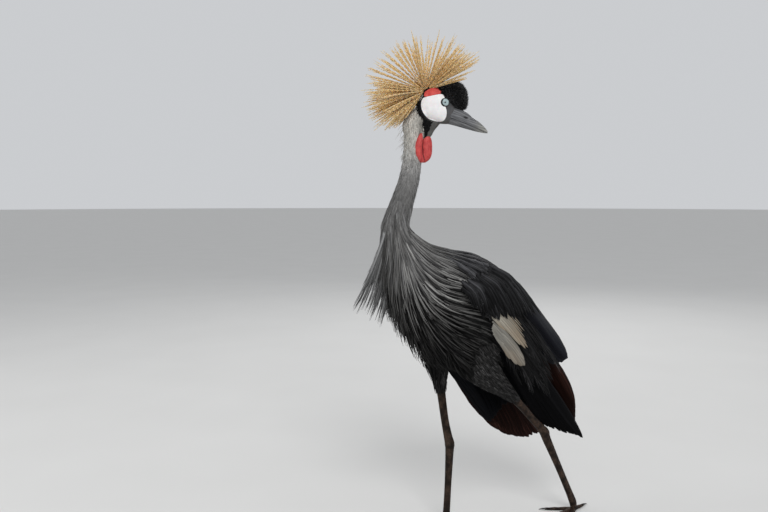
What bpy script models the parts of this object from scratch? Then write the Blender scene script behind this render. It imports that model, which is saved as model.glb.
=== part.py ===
"""A grey crowned crane, life size, as a still museum model.

The bird walks along +X with its left side towards +Y, the right leg in front and the left leg
trailing, the body reared up at about 45 degrees, and looks back over its left shoulder.
Lengths are in metres and angles in degrees.
"""

import math
import random

import bmesh
import bpy
from mathutils import Matrix, Vector

GAP = 0.0003
SEED = 11

# The trunk and neck follow one path in the bird's plane of symmetry, from the tail core to the
# top of the neck: x forward, z up, half depth in the plane, half width across it.
TRUNK = (
    (-0.112, 0.276, 0.007, 0.016),
    (-0.075, 0.310, 0.020, 0.026),
    (-0.034, 0.356, 0.048, 0.047),
    (0.015, 0.412, 0.089, 0.069),
    (0.078, 0.456, 0.114, 0.084),
    (0.140, 0.504, 0.114, 0.088),
    (0.198, 0.549, 0.089, 0.080),
    (0.245, 0.594, 0.056, 0.059),
    (0.271, 0.650, 0.034, 0.034),
    (0.2555, 0.705, 0.0270, 0.0268),
    (0.2445, 0.750, 0.0240, 0.0238),
    (0.2395, 0.790, 0.0212, 0.0208),
    (0.2385, 0.830, 0.0185, 0.0180),
    (0.2365, 0.862, 0.0200, 0.0185),
)
TAIL_BASE = 1.0
NECK_BASE = 8.2
NECK_CUTS = (9.6, 11.3, 13.0)
SIDES = 20
HACKLE_TIERS = (
    # root station, reach in stations, count, first and last angle, half width, height of the tip
    (8.05, 1.30, 13, 12, 348, 0.0085, 0.0050),
    (7.45, 1.45, 8, 114, 246, 0.0095, 0.0050),
    (6.80, 1.50, 8, 116, 244, 0.0110, 0.0050),
    (6.15, 1.50, 9, 116, 244, 0.0120, 0.0050),
    (5.50, 1.50, 8, 117, 243, 0.0130, 0.0050),
    (4.85, 1.50, 8, 117, 243, 0.0135, 0.0050),
    (4.20, 1.50, 8, 118, 242, 0.0130, 0.0050),
    (3.50, 1.40, 7, 118, 242, 0.0125, 0.0050),
    (2.75, 1.20, 6, 120, 240, 0.0120, 0.0045),
)
# The longest hackles in front: root station, angle, the free tip, half width.
HANGING = (
    (8.10, 170, (0.350, 0.008, 0.497), 0.0060),
    (8.05, 184, (0.354, -0.008, 0.508), 0.0060),
    (7.75, 174, (0.338, -0.004, 0.486), 0.0070),
    (7.85, 196, (0.344, -0.026, 0.482), 0.0060),
    (7.40, 186, (0.320, -0.022, 0.462), 0.0075),
    (6.95, 190, (0.302, -0.028, 0.448), 0.0080),
    (6.40, 194, (0.270, -0.036, 0.420), 0.0085),
    (5.80, 197, (0.234, -0.042, 0.390), 0.0085),
    (5.30, 199, (0.204, -0.048, 0.367), 0.0080),
)

# The head has its own frame, from the point midway between the eyes: forward along the bill,
# up over the crown and right towards the right eye. It looks back past the left shoulder.
HEAD_POINT = Vector((0.1806, 0.0337, 0.9015))
HEAD_YAW = 150.0
BILL_DIP = 20.0


def blend_rows(rows, s):
    """The row at station s of a table, on a smooth curve through all its rows."""
    last = len(rows) - 1
    i = max(0, min(last - 1, int(math.floor(s))))
    t = s - i
    before, start, end, after = (rows[max(0, min(last, i + k))] for k in (-1, 0, 1, 2))
    return tuple(
        0.5
        * (
            2 * p1
            + (p2 - p0) * t
            + (2 * p0 - 5 * p1 + 4 * p2 - p3) * t * t
            + (3 * p1 - p0 - 3 * p2 + p3) * t * t * t
        )
        for p0, p1, p2, p3 in zip(before, start, end, after)
    )


def smooth(t):
    t = max(0.0, min(1.0, t))
    return t * t * (3 - 2 * t)


def mix(a, b, t):
    return a + (b - a) * t


# ---- mesh tools ------------------------------------------------------------------------------


def finish_mesh(name, bm):
    bm.normal_update()
    bmesh.ops.recalc_face_normals(bm, faces=bm.faces)
    if bm.calc_volume(signed=True) < 0:
        bmesh.ops.reverse_faces(bm, faces=bm.faces)
    mesh = bpy.data.meshes.new(name)
    bm.to_mesh(mesh)
    bm.free()
    obj = bpy.data.objects.new(name, mesh)
    bpy.context.scene.collection.objects.link(obj)
    return obj


def loft(name, rings):
    """A closed body through rings of points, each ring with the same count."""
    bm = bmesh.new()
    rows = [[bm.verts.new(p) for p in ring] for ring in rings]
    count = len(rows[0])
    for a, b in zip(rows, rows[1:]):
        for i in range(count):
            j = (i + 1) % count
            bm.faces.new((a[i], a[j], b[j]))
            bm.faces.new((a[i], b[j], b[i]))
    bm.faces.new(rows[0])
    bm.faces.new(rows[-1])
    bmesh.ops.triangulate(bm, faces=[f for f in bm.faces if len(f.verts) > 4])
    return finish_mesh(name, bm)


def ellipse(centre, first, first_radius, second, second_radius, count):
    turn = 2 * math.pi / count
    return [
        centre + first * (first_radius * math.cos(i * turn)) + second * (second_radius * math.sin(i * turn))
        for i in range(count)
    ]


def ball(name, centre, radii, axes, rings=10, segments=16):
    """An ellipsoid with its three radii along three given directions."""
    bm = bmesh.new()
    bmesh.ops.create_uvsphere(bm, u_segments=segments, v_segments=rings, radius=1.0)
    turn = Matrix([axes[0] * radii[0], axes[1] * radii[1], axes[2] * radii[2]]).transposed()
    for v in bm.verts:
        v.co = centre + turn @ v.co
    return finish_mesh(name, bm)


def blade(name, centres, sides, normals, half_widths, thickness):
    """A flat vane through sections along its shaft, with both faces split into like triangles."""
    bm = bmesh.new()
    rows = []
    for c, s, n, w, t in zip(centres, sides, normals, half_widths, thickness):
        corners = (c - s * w + n * t / 2, c + s * w + n * t / 2, c + s * w - n * t / 2, c - s * w - n * t / 2)
        rows.append([bm.verts.new(p) for p in corners])
    for a, b in zip(rows, rows[1:]):
        bm.faces.new((a[0], a[1], b[1]))
        bm.faces.new((a[0], b[1], b[0]))
        bm.faces.new((a[3], b[2], a[2]))
        bm.faces.new((a[3], b[3], b[2]))
        bm.faces.new((a[1], a[2], b[2], b[1]))
        bm.faces.new((a[3], a[0], b[0], b[3]))
    bm.faces.new(rows[0])
    bm.faces.new(rows[-1])
    return finish_mesh(name, bm)


def spike(name, points, radii, sides=3):
    """A tapered bristle along points."""
    axis = (points[-1] - points[0]).normalized()
    first = axis.orthogonal().normalized()
    second = axis.cross(first)
    return loft(name, [ellipse(p, first, r, second, r, sides) for p, r in zip(points, radii)])


def evaluated_copy(obj):
    """Writes an object's modifiers into its mesh."""
    bpy.context.view_layer.update()
    graph = bpy.context.evaluated_depsgraph_get()
    mesh = bpy.data.meshes.new_from_object(obj.evaluated_get(graph))
    obj.modifiers.clear()
    obj.data = mesh


def keep_largest(obj):
    """Leaves a node its largest closed surface alone."""
    bm = bmesh.new()
    bm.from_mesh(obj.data)
    bm.faces.ensure_lookup_table()
    unseen = set(bm.faces)
    shells = []
    while unseen:
        stack = [unseen.pop()]
        shell = []
        while stack:
            face = stack.pop()
            shell.append(face)
            for edge in face.edges:
                for other in edge.link_faces:
                    if other in unseen:
                        unseen.remove(other)
                        stack.append(other)
        volume = sum(
            (f.verts[0].co.dot(a.co.cross(b.co)) for f in shell for a, b in zip(f.verts[1:], f.verts[2:]))
        )
        shells.append((volume, shell))
    best = max(shells, key=lambda item: item[0])[1]
    spare = [f for _, shell in shells for f in shell if shell is not best]
    bmesh.ops.delete(bm, geom=spare, context="FACES")
    loose = [v for v in bm.verts if not v.link_faces]
    bmesh.ops.delete(bm, geom=loose, context="VERTS")
    bm.to_mesh(obj.data)
    bm.free()


def fuse(obj, pieces):
    """Joins pieces to a node in one step and removes them."""
    group = bpy.data.collections.new(obj.name + "_pieces")
    for piece in pieces:
        bpy.context.scene.collection.objects.unlink(piece)
        group.objects.link(piece)
    bpy.context.scene.collection.children.link(group)
    modifier = obj.modifiers.new("fuse", "BOOLEAN")
    modifier.operation = "UNION"
    modifier.operand_type = "COLLECTION"
    modifier.collection = group
    modifier.solver = "MANIFOLD"
    evaluated_copy(obj)
    for piece in pieces:
        bpy.data.objects.remove(piece)
    bpy.data.collections.remove(group)
    keep_largest(obj)
    return obj


def cut(obj, cutters):
    """Cuts each of the cutters from a node and removes them."""
    for cutter in cutters:
        modifier = obj.modifiers.new("cut", "BOOLEAN")
        modifier.operation = "DIFFERENCE"
        modifier.object = cutter
        modifier.solver = "MANIFOLD"
        evaluated_copy(obj)
        bpy.data.objects.remove(cutter)
    keep_largest(obj)
    return obj


def paint(obj, colour, roughness):
    material = bpy.data.materials.new(obj.name + "_finish")
    material.use_nodes = True
    shader = material.node_tree.nodes["Principled BSDF"]
    shader.inputs["Base Color"].default_value = (*colour, 1.0)
    shader.inputs["Roughness"].default_value = roughness
    shader.inputs["Metallic"].default_value = 0.0
    obj.data.materials.clear()
    obj.data.materials.append(material)
    obj.data.shade_smooth()
    obj.data.set_sharp_from_angle(angle=math.radians(40))


# ---- trunk and neck --------------------------------------------------------------------------


def trunk_frame(s):
    """Centre, direction towards the head, dorsal direction and the two radii at station s."""
    x, z, depth, width = blend_rows(TRUNK, s)
    step = 0.02
    x0, z0 = blend_rows(TRUNK, s - step)[:2]
    x1, z1 = blend_rows(TRUNK, s + step)[:2]
    along = Vector((x1 - x0, 0.0, z1 - z0)).normalized()
    dorsal = Vector((-along.z, 0.0, along.x))
    return Vector((x, 0.0, z)), along, dorsal, depth, width


def trunk_point(s, angle, height=0.0):
    """A point on the trunk or height over it. Angle 0 is the back, 90 the left side, 180 the belly."""
    centre, _, dorsal, depth, width = trunk_frame(s)
    turn = math.radians(angle)
    across = Vector((0.0, 1.0, 0.0))
    return centre + dorsal * ((depth + height) * math.cos(turn)) + across * ((width + height) * math.sin(turn))


def trunk_normal(s, angle):
    along = trunk_point(s + 0.05, angle) - trunk_point(s - 0.05, angle)
    round_it = trunk_point(s, angle + 2) - trunk_point(s, angle - 2)
    return along.cross(round_it).normalized()


def trunk_length(node, start, end, rings, grow=0.0):
    """The stretch of trunk between two stations, with a flat face at each end."""
    stations = [mix(start, end, i / rings) for i in range(rings + 1)]
    return loft(
        node,
        [[trunk_point(s, 360 * k / SIDES, grow) for k in range(SIDES)] for s in stations],
    )


def station_gap(s):
    """Half of the gap between two nodes, as a share of the station count at s."""
    step = 0.02
    return GAP / 2 / ((trunk_point(s + step, 90) - trunk_point(s - step, 90)).length / (2 * step))


def surface_vane(name, path, half_widths, thickness, roll=0.0):
    """A vane whose shaft runs over the trunk through (station, angle, height) rows."""
    centres = [trunk_point(*row) for row in path]
    sides, normals = [], []
    for i, (s, angle, _) in enumerate(path):
        ahead = centres[min(i + 1, len(path) - 1)] - centres[max(i - 1, 0)]
        normal = trunk_normal(s, angle)
        side = ahead.cross(normal).normalized()
        normal = side.cross(ahead).normalized()
        turn = Matrix.Rotation(math.radians(roll), 3, ahead.normalized())
        sides.append(turn @ side)
        normals.append(turn @ normal)
    return blade(name, centres, sides, normals, half_widths, thickness)


def near_thigh(point, margin):
    """Whether a point is in one of the thighs or within a margin of it."""
    for rows in (LEFT_LEG["thigh"], RIGHT_LEG["thigh"]):
        for i in range(13):
            x, y, z, depth, width = blend_rows(rows, i / 3)
            if (point - Vector((x, y, z))).length < max(depth, width) + margin:
                return True
    return False


def on_wing(s, angle):
    """Whether a place on the trunk lies under a wing."""
    turn = (angle + 180) % 360 - 180
    droop = 26 * smooth((5.8 - s) / 1.5) if turn < 0 else 0
    return s < SHELL_END + 0.2 and abs(turn) < SHELL_LOW + 12 + droop


def hackle_tier(tier, rng, root, reach, count, first, last, half_width, rise):
    """One row of lance-shaped locks across the trunk, each lying over the roots of the row behind."""
    made = []
    for k in range(count):
        angle = mix(first, last, (k + (0.5 if tier % 2 else 0.2)) / count) % 360
        side = 1 if angle < 180 else -1
        flank = math.sin(math.radians(angle)) ** 2
        drift = -side * (14.0 * flank + rng.uniform(-2.0, 2.0))
        length = reach * rng.uniform(0.88, 1.10)
        shares = (0.0, 0.28, 0.68, 1.0)
        while length > reach * 0.45:
            path = [(root - length * t, angle + drift * t, rise * t - 0.003 * (t == 0)) for t in shares]
            if not any(on_wing(s, a) or near_thigh(trunk_point(s, a, h), 0.006) for s, a, h in path[1:]):
                break
            length -= reach * 0.12
        else:
            continue
        if on_wing(root, angle) or near_thigh(trunk_point(*path[0]), 0.006):
            continue
        widths = [half_width * w for w in (0.45, 0.95, 0.85, 0.14)]
        made.append(
            surface_vane(f"hackle_{tier}_{k}", path, widths, (0.0011, 0.0010, 0.0009, 0.0006), -6.5 * side)
        )
    return made


def hanging_hackles():
    """The longest hackles, which hang clear of the breast from the front of the neck's base."""
    made = []
    for k, (root, angle, end, half_width) in enumerate(HANGING):
        start = trunk_point(root, angle, -0.004)
        tip = Vector(end)
        out = trunk_normal(root, angle)
        points = [start, start.lerp(tip, 0.35) + out * 0.012, start.lerp(tip, 0.70) + out * 0.010, tip]
        sides = [Vector((0.25, 1.0, 0.0)).normalized()] * 4
        normals = []
        for i in range(4):
            ahead = points[min(i + 1, 3)] - points[max(i - 1, 0)]
            normals.append(ahead.cross(sides[i]).normalized())
        widths = [half_width * w for w in (0.6, 1.0, 0.8, 0.12)]
        made.append(blade(f"hanging_{k}", points, sides, normals, widths, (0.0012, 0.0011, 0.001, 0.0007)))
    return made


def build_torso(rng):
    torso = trunk_length("torso", TAIL_BASE + station_gap(TAIL_BASE), NECK_BASE - station_gap(NECK_BASE), 11)
    locks = []
    for tier, row in enumerate(HACKLE_TIERS):
        locks += hackle_tier(tier, rng, *row)
    for lock in locks:
        if any(near_thigh(v.co, 0.004) for v in lock.data.vertices):
            cut(lock, [leg_room("left_thigh_room", LEFT_LEG), leg_room("right_thigh_room", RIGHT_LEG)])
    return fuse(torso, locks + hanging_hackles())


def build_neck():
    nodes = []
    start = NECK_BASE
    for name, end, rings in zip(("neck_lower", "neck_middle", "neck_upper"), NECK_CUTS, (4, 4, 4)):
        top = end - (station_gap(end) if end < NECK_CUTS[-1] else 0.0)
        nodes.append(trunk_length(name, start + station_gap(start), top, rings))
        start = end
    return nodes


# ---- head ------------------------------------------------------------------------------------

# Skull sections along the head's forward axis: station, height of the centre, half height, half width.
SKULL = (
    (-0.053, -0.014, 0.0050, 0.0040),
    (-0.047, -0.014, 0.0180, 0.0120),
    (-0.034, -0.012, 0.0280, 0.0180),
    (-0.018, -0.012, 0.0320, 0.0205),
    (-0.004, -0.015, 0.0290, 0.0200),
    (0.008, -0.019, 0.0230, 0.0170),
    (0.020, -0.0205, 0.0175, 0.0125),
)
BILL = (
    (0.020, -0.0205, 0.0175, 0.0125),
    (0.030, -0.0194, 0.0174, 0.0103),
    (0.047, -0.0200, 0.0155, 0.0078),
    (0.060, -0.0220, 0.0125, 0.0062),
    (0.075, -0.0232, 0.0099, 0.0046),
    (0.088, -0.0248, 0.0063, 0.0030),
    (0.096, -0.0263, 0.0030, 0.0016),
    (0.0988, -0.0270, 0.0010, 0.0007),
)
MOUTH_LINE = -0.027
MOUTH_CORNER = 0.011
NOSTRIL = (0.048, -0.0153)
EYE_RADIUS = 0.0085
EYE_OUT = 0.0105
LID_RADIUS = 0.0076
CUSHION = (
    (-0.0270, 0.0170, 0.0040, 0.0050),
    (-0.0235, 0.0190, 0.0110, 0.0120),
    (-0.0110, 0.0220, 0.0180, 0.0190),
    (0.0040, 0.0235, 0.0225, 0.0225),
    (0.0180, 0.0200, 0.0260, 0.0225),
    (0.0300, 0.0150, 0.0245, 0.0200),
    (0.0390, 0.0090, 0.0190, 0.0150),
    (0.0440, 0.0050, 0.0110, 0.0090),
    (0.0460, 0.0040, 0.0040, 0.0040),
)
CREST_ROOT = (-0.045, 0.006)
CREST_BASE_RADIUS = 0.0145
CREST_LENGTH = 0.116
CREST_FAN = (14.0, 236.0)
BRISTLE_RADII = (0.0012, 0.00085, 0.0004)


def head_axes():
    yaw, dip = math.radians(HEAD_YAW), math.radians(BILL_DIP)
    level = Vector((math.cos(yaw), math.sin(yaw), 0.0))
    forward = level * math.cos(dip) - Vector((0, 0, 1)) * math.sin(dip)
    up = level * math.sin(dip) + Vector((0, 0, 1)) * math.cos(dip)
    return forward, up, forward.cross(up)


FORWARD, UP, RIGHT = head_axes()


def head_point(forward, up, right=0.0):
    return HEAD_POINT + FORWARD * forward + UP * up + RIGHT * right


def head_loft(name, rows, count=16, grow=0.0):
    return loft(
        name,
        [ellipse(head_point(f, u), UP, h + grow, RIGHT, w + grow, count) for f, u, h, w in rows],
    )


def refine(rows, steps):
    """More sections between those of a table."""
    last = len(rows) - 1
    return [blend_rows(rows, last * i / steps) for i in range(steps + 1)]


def nape(grow=0.0):
    """The top of the neck, running up into the back of the skull."""
    level = Vector((math.cos(math.radians(HEAD_YAW)), math.sin(math.radians(HEAD_YAW)), 0.0))
    top, neck_way = trunk_frame(NECK_CUTS[-1])[:2]
    start = top + neck_way * GAP
    inside = head_point(-0.020, -0.012)
    way = (inside - start).normalized()
    size = sum(TRUNK[-1][2:]) / 2
    rings = []
    for t in (0.0, 0.33, 0.66, 1.0):
        bow = Vector((0, 0, 1)) * 0.004 * 4 * t * (1 - t) - level * 0.002 * 4 * t * (1 - t)
        centre = start.lerp(inside, t) + bow
        along = neck_way.lerp(way, smooth(t)).normalized()
        first = RIGHT.cross(along).normalized()
        second = along.cross(first).normalized()
        rings.append(ellipse(centre, first, size * mix(1.0, 1.02, t) + grow, second, size + grow, 15))
    return loft("nape", rings)


def throat():
    """The strip of skin from the chin down to the wattle."""
    level = Vector((math.cos(math.radians(HEAD_YAW)), math.sin(math.radians(HEAD_YAW)), 0.0))
    rows = (
        (-0.024, -0.028, 0.020, 0.013),
        (-0.028, -0.042, 0.017, 0.0115),
        (-0.034, -0.055, 0.0125, 0.0095),
        (-0.0375, -0.066, 0.0095, 0.0080),
    )
    return loft(
        "throat",
        [ellipse(HEAD_POINT + level * p + Vector((0, 0, q)), level, a, RIGHT, b, 12) for p, q, a, b in rows],
    )


def eye_centre(side):
    return head_point(0.0, 0.0, side * EYE_OUT)


def eye_rooms(grow):
    axes = (FORWARD, UP, RIGHT)
    return [ball(f"eye_room_{side}", eye_centre(side), [EYE_RADIUS + grow] * 3, axes, 8, 12) for side in (-1, 1)]


def build_head():
    head = head_loft("head", refine(SKULL, 9))
    lids = []
    for side in (-1, 1):
        out = RIGHT * side
        ring = []
        for i in range(14):
            turn = 2 * math.pi * i / 14
            spoke = FORWARD * math.cos(turn) + UP * math.sin(turn)
            centre = eye_centre(side) + out * 0.0048 + spoke * LID_RADIUS
            ring.append(ellipse(centre, spoke, 0.0013, out, 0.0016, 4))
        bm = bmesh.new()
        rows = [[bm.verts.new(p) for p in section] for section in ring]
        for a, b in zip(rows, rows[1:] + rows[:1]):
            for i in range(4):
                j = (i + 1) % 4
                bm.faces.new((a[i], a[j], b[j], b[i]))
        lids.append(finish_mesh(f"lid_{side}", bm))
    fuse(head, [nape(), throat(), *lids])
    axes = (FORWARD, UP, RIGHT)
    corners = []
    for side in (-1, 1):
        corners.append(
            ball(
                f"gape_{side}",
                head_point(0.017, MOUTH_LINE, side * 0.0145),
                (0.010, 0.0006, 0.0035),
                axes,
                4,
                8,
            )
        )
    cut(head, eye_rooms(GAP) + corners)
    return head


def build_eyes():
    return [
        ball(f"eye_{name}", eye_centre(side), [EYE_RADIUS] * 3, (FORWARD, UP, RIGHT), 8, 12)
        for name, side in (("left", -1), ("right", 1))
    ]


def slab(name, low, high, reach=0.08):
    """A block in the head's frame between two heights, wide enough to cut the bill."""
    bm = bmesh.new()
    bmesh.ops.create_cube(bm, size=1.0)
    for v in bm.verts:
        f = 0.06 + v.co.x * 2 * reach
        u = mix(low, high, v.co.z + 0.5)
        v.co = head_point(f, u, v.co.y * reach)
    return finish_mesh(name, bm)


def build_bill():
    rows = refine(BILL, 8)
    start = (rows[0][0] + GAP, *rows[0][1:])
    rows = [start, *rows[1:]]
    upper = head_loft("bill_upper", rows, 14)
    lower = head_loft("bill_lower", rows, 14)
    nostrils = [
        ball(
            f"nostril_{side}",
            head_point(*NOSTRIL, side * 0.0074),
            (0.0046, 0.0017, 0.0032),
            (FORWARD, UP, RIGHT),
            4,
            8,
        )
        for side in (-1, 1)
    ]
    cut(upper, [slab("below", -0.2, MOUTH_LINE + GAP / 2), *nostrils])
    cut(lower, [slab("above", MOUTH_LINE - GAP / 2, 0.2)])
    return [upper, lower]


def grown_head(name):
    rows = refine(SKULL, 9)
    front = (rows[-1][0] + GAP, *rows[-1][1:])
    return head_loft(name, [*rows[:-1], front], grow=GAP)


def grown_bill(name):
    return head_loft(name, refine(BILL, 8), 14, grow=GAP)


def cushion_room():
    return head_loft("cushion_room", refine(CUSHION, 9), 14, GAP)


def build_cushion():
    """The pad of short velvet feathers over the forehead."""
    cushion = head_loft("forehead_cushion", refine(CUSHION, 9), 14)
    return cut(cushion, [grown_head("skull_room"), grown_bill("bill_room"), *eye_rooms(0.0038)])


def over_cushion(point):
    """How far a point is out of the cushion: 1 on its surface, more outside."""
    offset = point - HEAD_POINT
    f, u, r = offset.dot(FORWARD), offset.dot(UP), offset.dot(RIGHT)
    if not CUSHION[0][0] - 0.002 < f < CUSHION[-1][0] + 0.002:
        return 9.0
    rows = refine(CUSHION, 24)
    _, middle, height, width = min(rows, key=lambda row: abs(row[0] - f))
    return math.hypot((u - middle) / (height + 0.0015), r / (width + 0.0015))


def over_neck(point):
    """Distance from a point to the axis of the upper neck and nape."""
    axis = [trunk_frame(s / 2)[0] for s in range(18, 27)] + [head_point(-0.030, -0.020)]
    return min((point - centre).length for centre in axis)


def build_crest(rng):
    """Stiff bristle feathers that fan out from a small patch on the back of the crown."""
    axes = (FORWARD, UP, RIGHT)
    centre = head_point(*CREST_ROOT)
    level = Vector((math.cos(math.radians(HEAD_YAW)), math.sin(math.radians(HEAD_YAW)), 0.0))
    crest = ball("crest", centre, [CREST_BASE_RADIUS] * 3, axes, 6, 10)
    bristles = []
    for k, slant in enumerate((-43, -26, -9, 9, 26, 43)):
        step = 17.0 / math.cos(math.radians(slant))
        turn = CREST_FAN[0] + (0.0 if k % 2 else step / 2)
        while turn <= CREST_FAN[1]:
            a = math.radians(turn + rng.uniform(-2.0, 2.0))
            b = math.radians(slant + rng.uniform(-2.0, 2.0))
            turn += step
            way = (level * math.cos(a) + Vector((0, 0, math.sin(a)))) * math.cos(b) + RIGHT * math.sin(b)
            length = CREST_LENGTH * rng.uniform(0.90, 1.07)
            points = [centre + way * (length * t) for t in (0.05, 0.5, 1.0)]
            tests = [centre + way * (length * t) for t in (0.2, 0.35, 0.5, 0.65, 0.8, 1.0)]
            if min(over_cushion(p) for p in tests) < 1.0 or min(over_neck(p) for p in tests) < 0.026:
                continue
            bristles.append(spike(f"bristle_{len(bristles)}", points, BRISTLE_RADII))
    fuse(crest, bristles)
    return cut(crest, [grown_head("skull_room"), nape(GAP), cushion_room()])


def build_wattle():
    level = Vector((math.cos(math.radians(HEAD_YAW)), math.sin(math.radians(HEAD_YAW)), 0.0))

    def lobe(name, rows):
        return loft(
            name,
            [
                ellipse(HEAD_POINT + level * p + Vector((0, 0, q)) + RIGHT * r, level, a, RIGHT, b, 12)
                for q, p, a, r, b in rows
            ],
        )

    front = lobe(
        "wattle",
        (
            (-0.0663, -0.0385, 0.0085, 0.000, 0.0070),
            (-0.074, -0.0380, 0.0100, 0.000, 0.0078),
            (-0.088, -0.0375, 0.0108, 0.000, 0.0085),
            (-0.102, -0.0385, 0.0108, 0.001, 0.0085),
            (-0.112, -0.0400, 0.0088, 0.002, 0.0072),
            (-0.1185, -0.0430, 0.0040, 0.003, 0.0040),
        ),
    )
    near = lobe(
        "wattle_lobe",
        (
            (-0.068, -0.0445, 0.0040, 0.006, 0.0045),
            (-0.074, -0.0470, 0.0070, 0.009, 0.0065),
            (-0.088, -0.0500, 0.0098, 0.012, 0.0080),
            (-0.102, -0.0500, 0.0098, 0.012, 0.0080),
            (-0.112, -0.0480, 0.0080, 0.010, 0.0065),
            (-0.118, -0.0460, 0.0035, 0.008, 0.0035),
        ),
    )
    fuse(front, [near])
    room = trunk_length("neck_room", NECK_CUTS[-1] - 3.0, NECK_CUTS[-1], 7, GAP)
    return cut(front, [room])


# ---- legs ------------------------------------------------------------------------------------

# Each leg from inside the body to the foot: x, y, z, half depth fore and aft, half width across.
LEFT_LEG = {
    "thigh": (
        (0.140, 0.040, 0.430, 0.046, 0.026),
        (0.112, 0.050, 0.380, 0.040, 0.026),
        (0.072, 0.054, 0.340, 0.028, 0.020),
        (0.036, 0.054, 0.310, 0.0165, 0.0140),
        (0.009, 0.053, 0.287, 0.0105, 0.0095),
    ),
    "shank": (
        (0.009, 0.053, 0.287, 0.0092, 0.0078),
        (-0.034, 0.052, 0.244, 0.0082, 0.0066),
        (-0.064, 0.051, 0.214, 0.0098, 0.0078),
        (-0.077, 0.050, 0.201, 0.0118, 0.0092),
    ),
    "tarsus": (
        (-0.077, 0.050, 0.201, 0.0112, 0.0090),
        (-0.086, 0.0495, 0.184, 0.0086, 0.0070),
        (-0.124, 0.047, 0.116, 0.0068, 0.0053),
        (-0.160, 0.044, 0.050, 0.0070, 0.0056),
        (-0.174, 0.042, 0.022, 0.0084, 0.0070),
    ),
}
RIGHT_LEG = {
    "thigh": (
        (0.150, -0.038, 0.440, 0.042, 0.026),
        (0.142, -0.044, 0.385, 0.034, 0.024),
        (0.140, -0.046, 0.345, 0.0215, 0.0180),
        (0.139, -0.046, 0.318, 0.0130, 0.0115),
        (0.138, -0.045, 0.300, 0.0098, 0.0088),
    ),
    "shank": (
        (0.138, -0.045, 0.300, 0.0088, 0.0074),
        (0.128, -0.040, 0.240, 0.0082, 0.0066),
        (0.120, -0.036, 0.200, 0.0100, 0.0078),
        (0.117, -0.034, 0.183, 0.0118, 0.0092),
    ),
    "tarsus": (
        (0.117, -0.034, 0.183, 0.0112, 0.0090),
        (0.119, -0.033, 0.166, 0.0086, 0.0070),
        (0.126, -0.029, 0.100, 0.0068, 0.0053),
        (0.132, -0.025, 0.045, 0.0070, 0.0056),
        (0.135, -0.023, 0.022, 0.0084, 0.0070),
    ),
}
FOOT_TOP = 0.022
TOES = (
    ("middle", 0.0, 0.086),
    ("inner", 36.0, 0.066),
    ("outer", -34.0, 0.070),
    ("hind", 172.0, 0.038),
)
TOE_HALF_WIDTH = 0.0052
TOE_HEIGHT = 0.0085


def limb_way(rows, s):
    """The direction of a leg segment at station s, towards the foot."""
    return (Vector(blend_rows(rows, s + 0.05)[:3]) - Vector(blend_rows(rows, s - 0.05)[:3])).normalized()


def limb(name, rows, steps, count=12, trim_start=0.0, trim_end=0.0, first_way=None, last_way=None):
    """A leg segment: elliptical sections along a smooth path, trimmed at its ends for the gaps."""
    last = len(rows) - 1
    length = sum((Vector(b[:3]) - Vector(a[:3])).length for a, b in zip(rows, rows[1:]))
    start, end = last * trim_start / length, last * (1 - trim_end / length)
    rings = []
    for i in range(steps + 1):
        s = mix(start, end, i / steps)
        x, y, z, depth, width = blend_rows(rows, s)
        ahead = limb_way(rows, s)
        if first_way:
            ahead = first_way.lerp(ahead, smooth((s - start) / 0.9)).normalized()
        if last_way:
            ahead = ahead.lerp(last_way, smooth((s - end + 0.9) / 0.9)).normalized()
        fore = Vector((0, 1, 0)).cross(ahead).normalized()
        across = ahead.cross(fore).normalized()
        rings.append(ellipse(Vector((x, y, z)), fore, depth, across, width, count))
    return loft(name, rings)


def toe(name, origin, heading, length):
    """A toe lying on its flat sole, with its claw."""
    along = Vector((math.cos(heading), math.sin(heading), 0.0))
    across = Vector((-along.y, along.x, 0.0))
    outline = ((-0.6, 0.0), (0.6, 0.0), (1.0, 0.4), (0.5, 1.0), (-0.5, 1.0), (-1.0, 0.4))
    rows = []
    for t, w, h in ((-0.06, 0.8, 1.0), (0.25, 1.0, 1.0), (0.65, 0.85, 0.82), (1.0, 0.6, 0.6)):
        base = origin + along * (length * t)
        rows.append(
            [base + across * (TOE_HALF_WIDTH * w * a) + Vector((0, 0, TOE_HEIGHT * h * b)) for a, b in outline]
        )
    pad = loft(name, rows)
    claw_rows = []
    for t, w, low, high in (
        (-0.004, 0.0022, 0.0010, 0.0046),
        (0.007, 0.0017, 0.0011, 0.0040),
        (0.015, 0.0004, 0.0008, 0.0014),
    ):
        base = origin + along * (length + t)
        middle = base + Vector((0, 0, (low + high) / 2))
        claw_rows.append(ellipse(middle, across, w, Vector((0, 0, 1)), (high - low) / 2, 5))
    return [pad, loft(name + "_claw", claw_rows)]


def build_foot(side, ankle, toe_in):
    name = "left" if side > 0 else "right"
    centre = Vector((ankle[0], ankle[1], 0.0))
    depth, width = ankle[3], ankle[4]
    rings = []
    for z, grow in ((0.0, 0.0), (0.009, 0.002), (FOOT_TOP - GAP, 0.0)):
        rings.append(
            ellipse(centre + Vector((0, 0, z)), Vector((1, 0, 0)), depth + grow, Vector((0, 1, 0)), width + grow, 12)
        )
    foot = loft(f"foot_{name}", rings)
    pieces = []
    for label, heading, length in TOES:
        pieces += toe(f"toe_{label}", centre, math.radians(toe_in + side * -heading), length)
    return fuse(foot, pieces)


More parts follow.
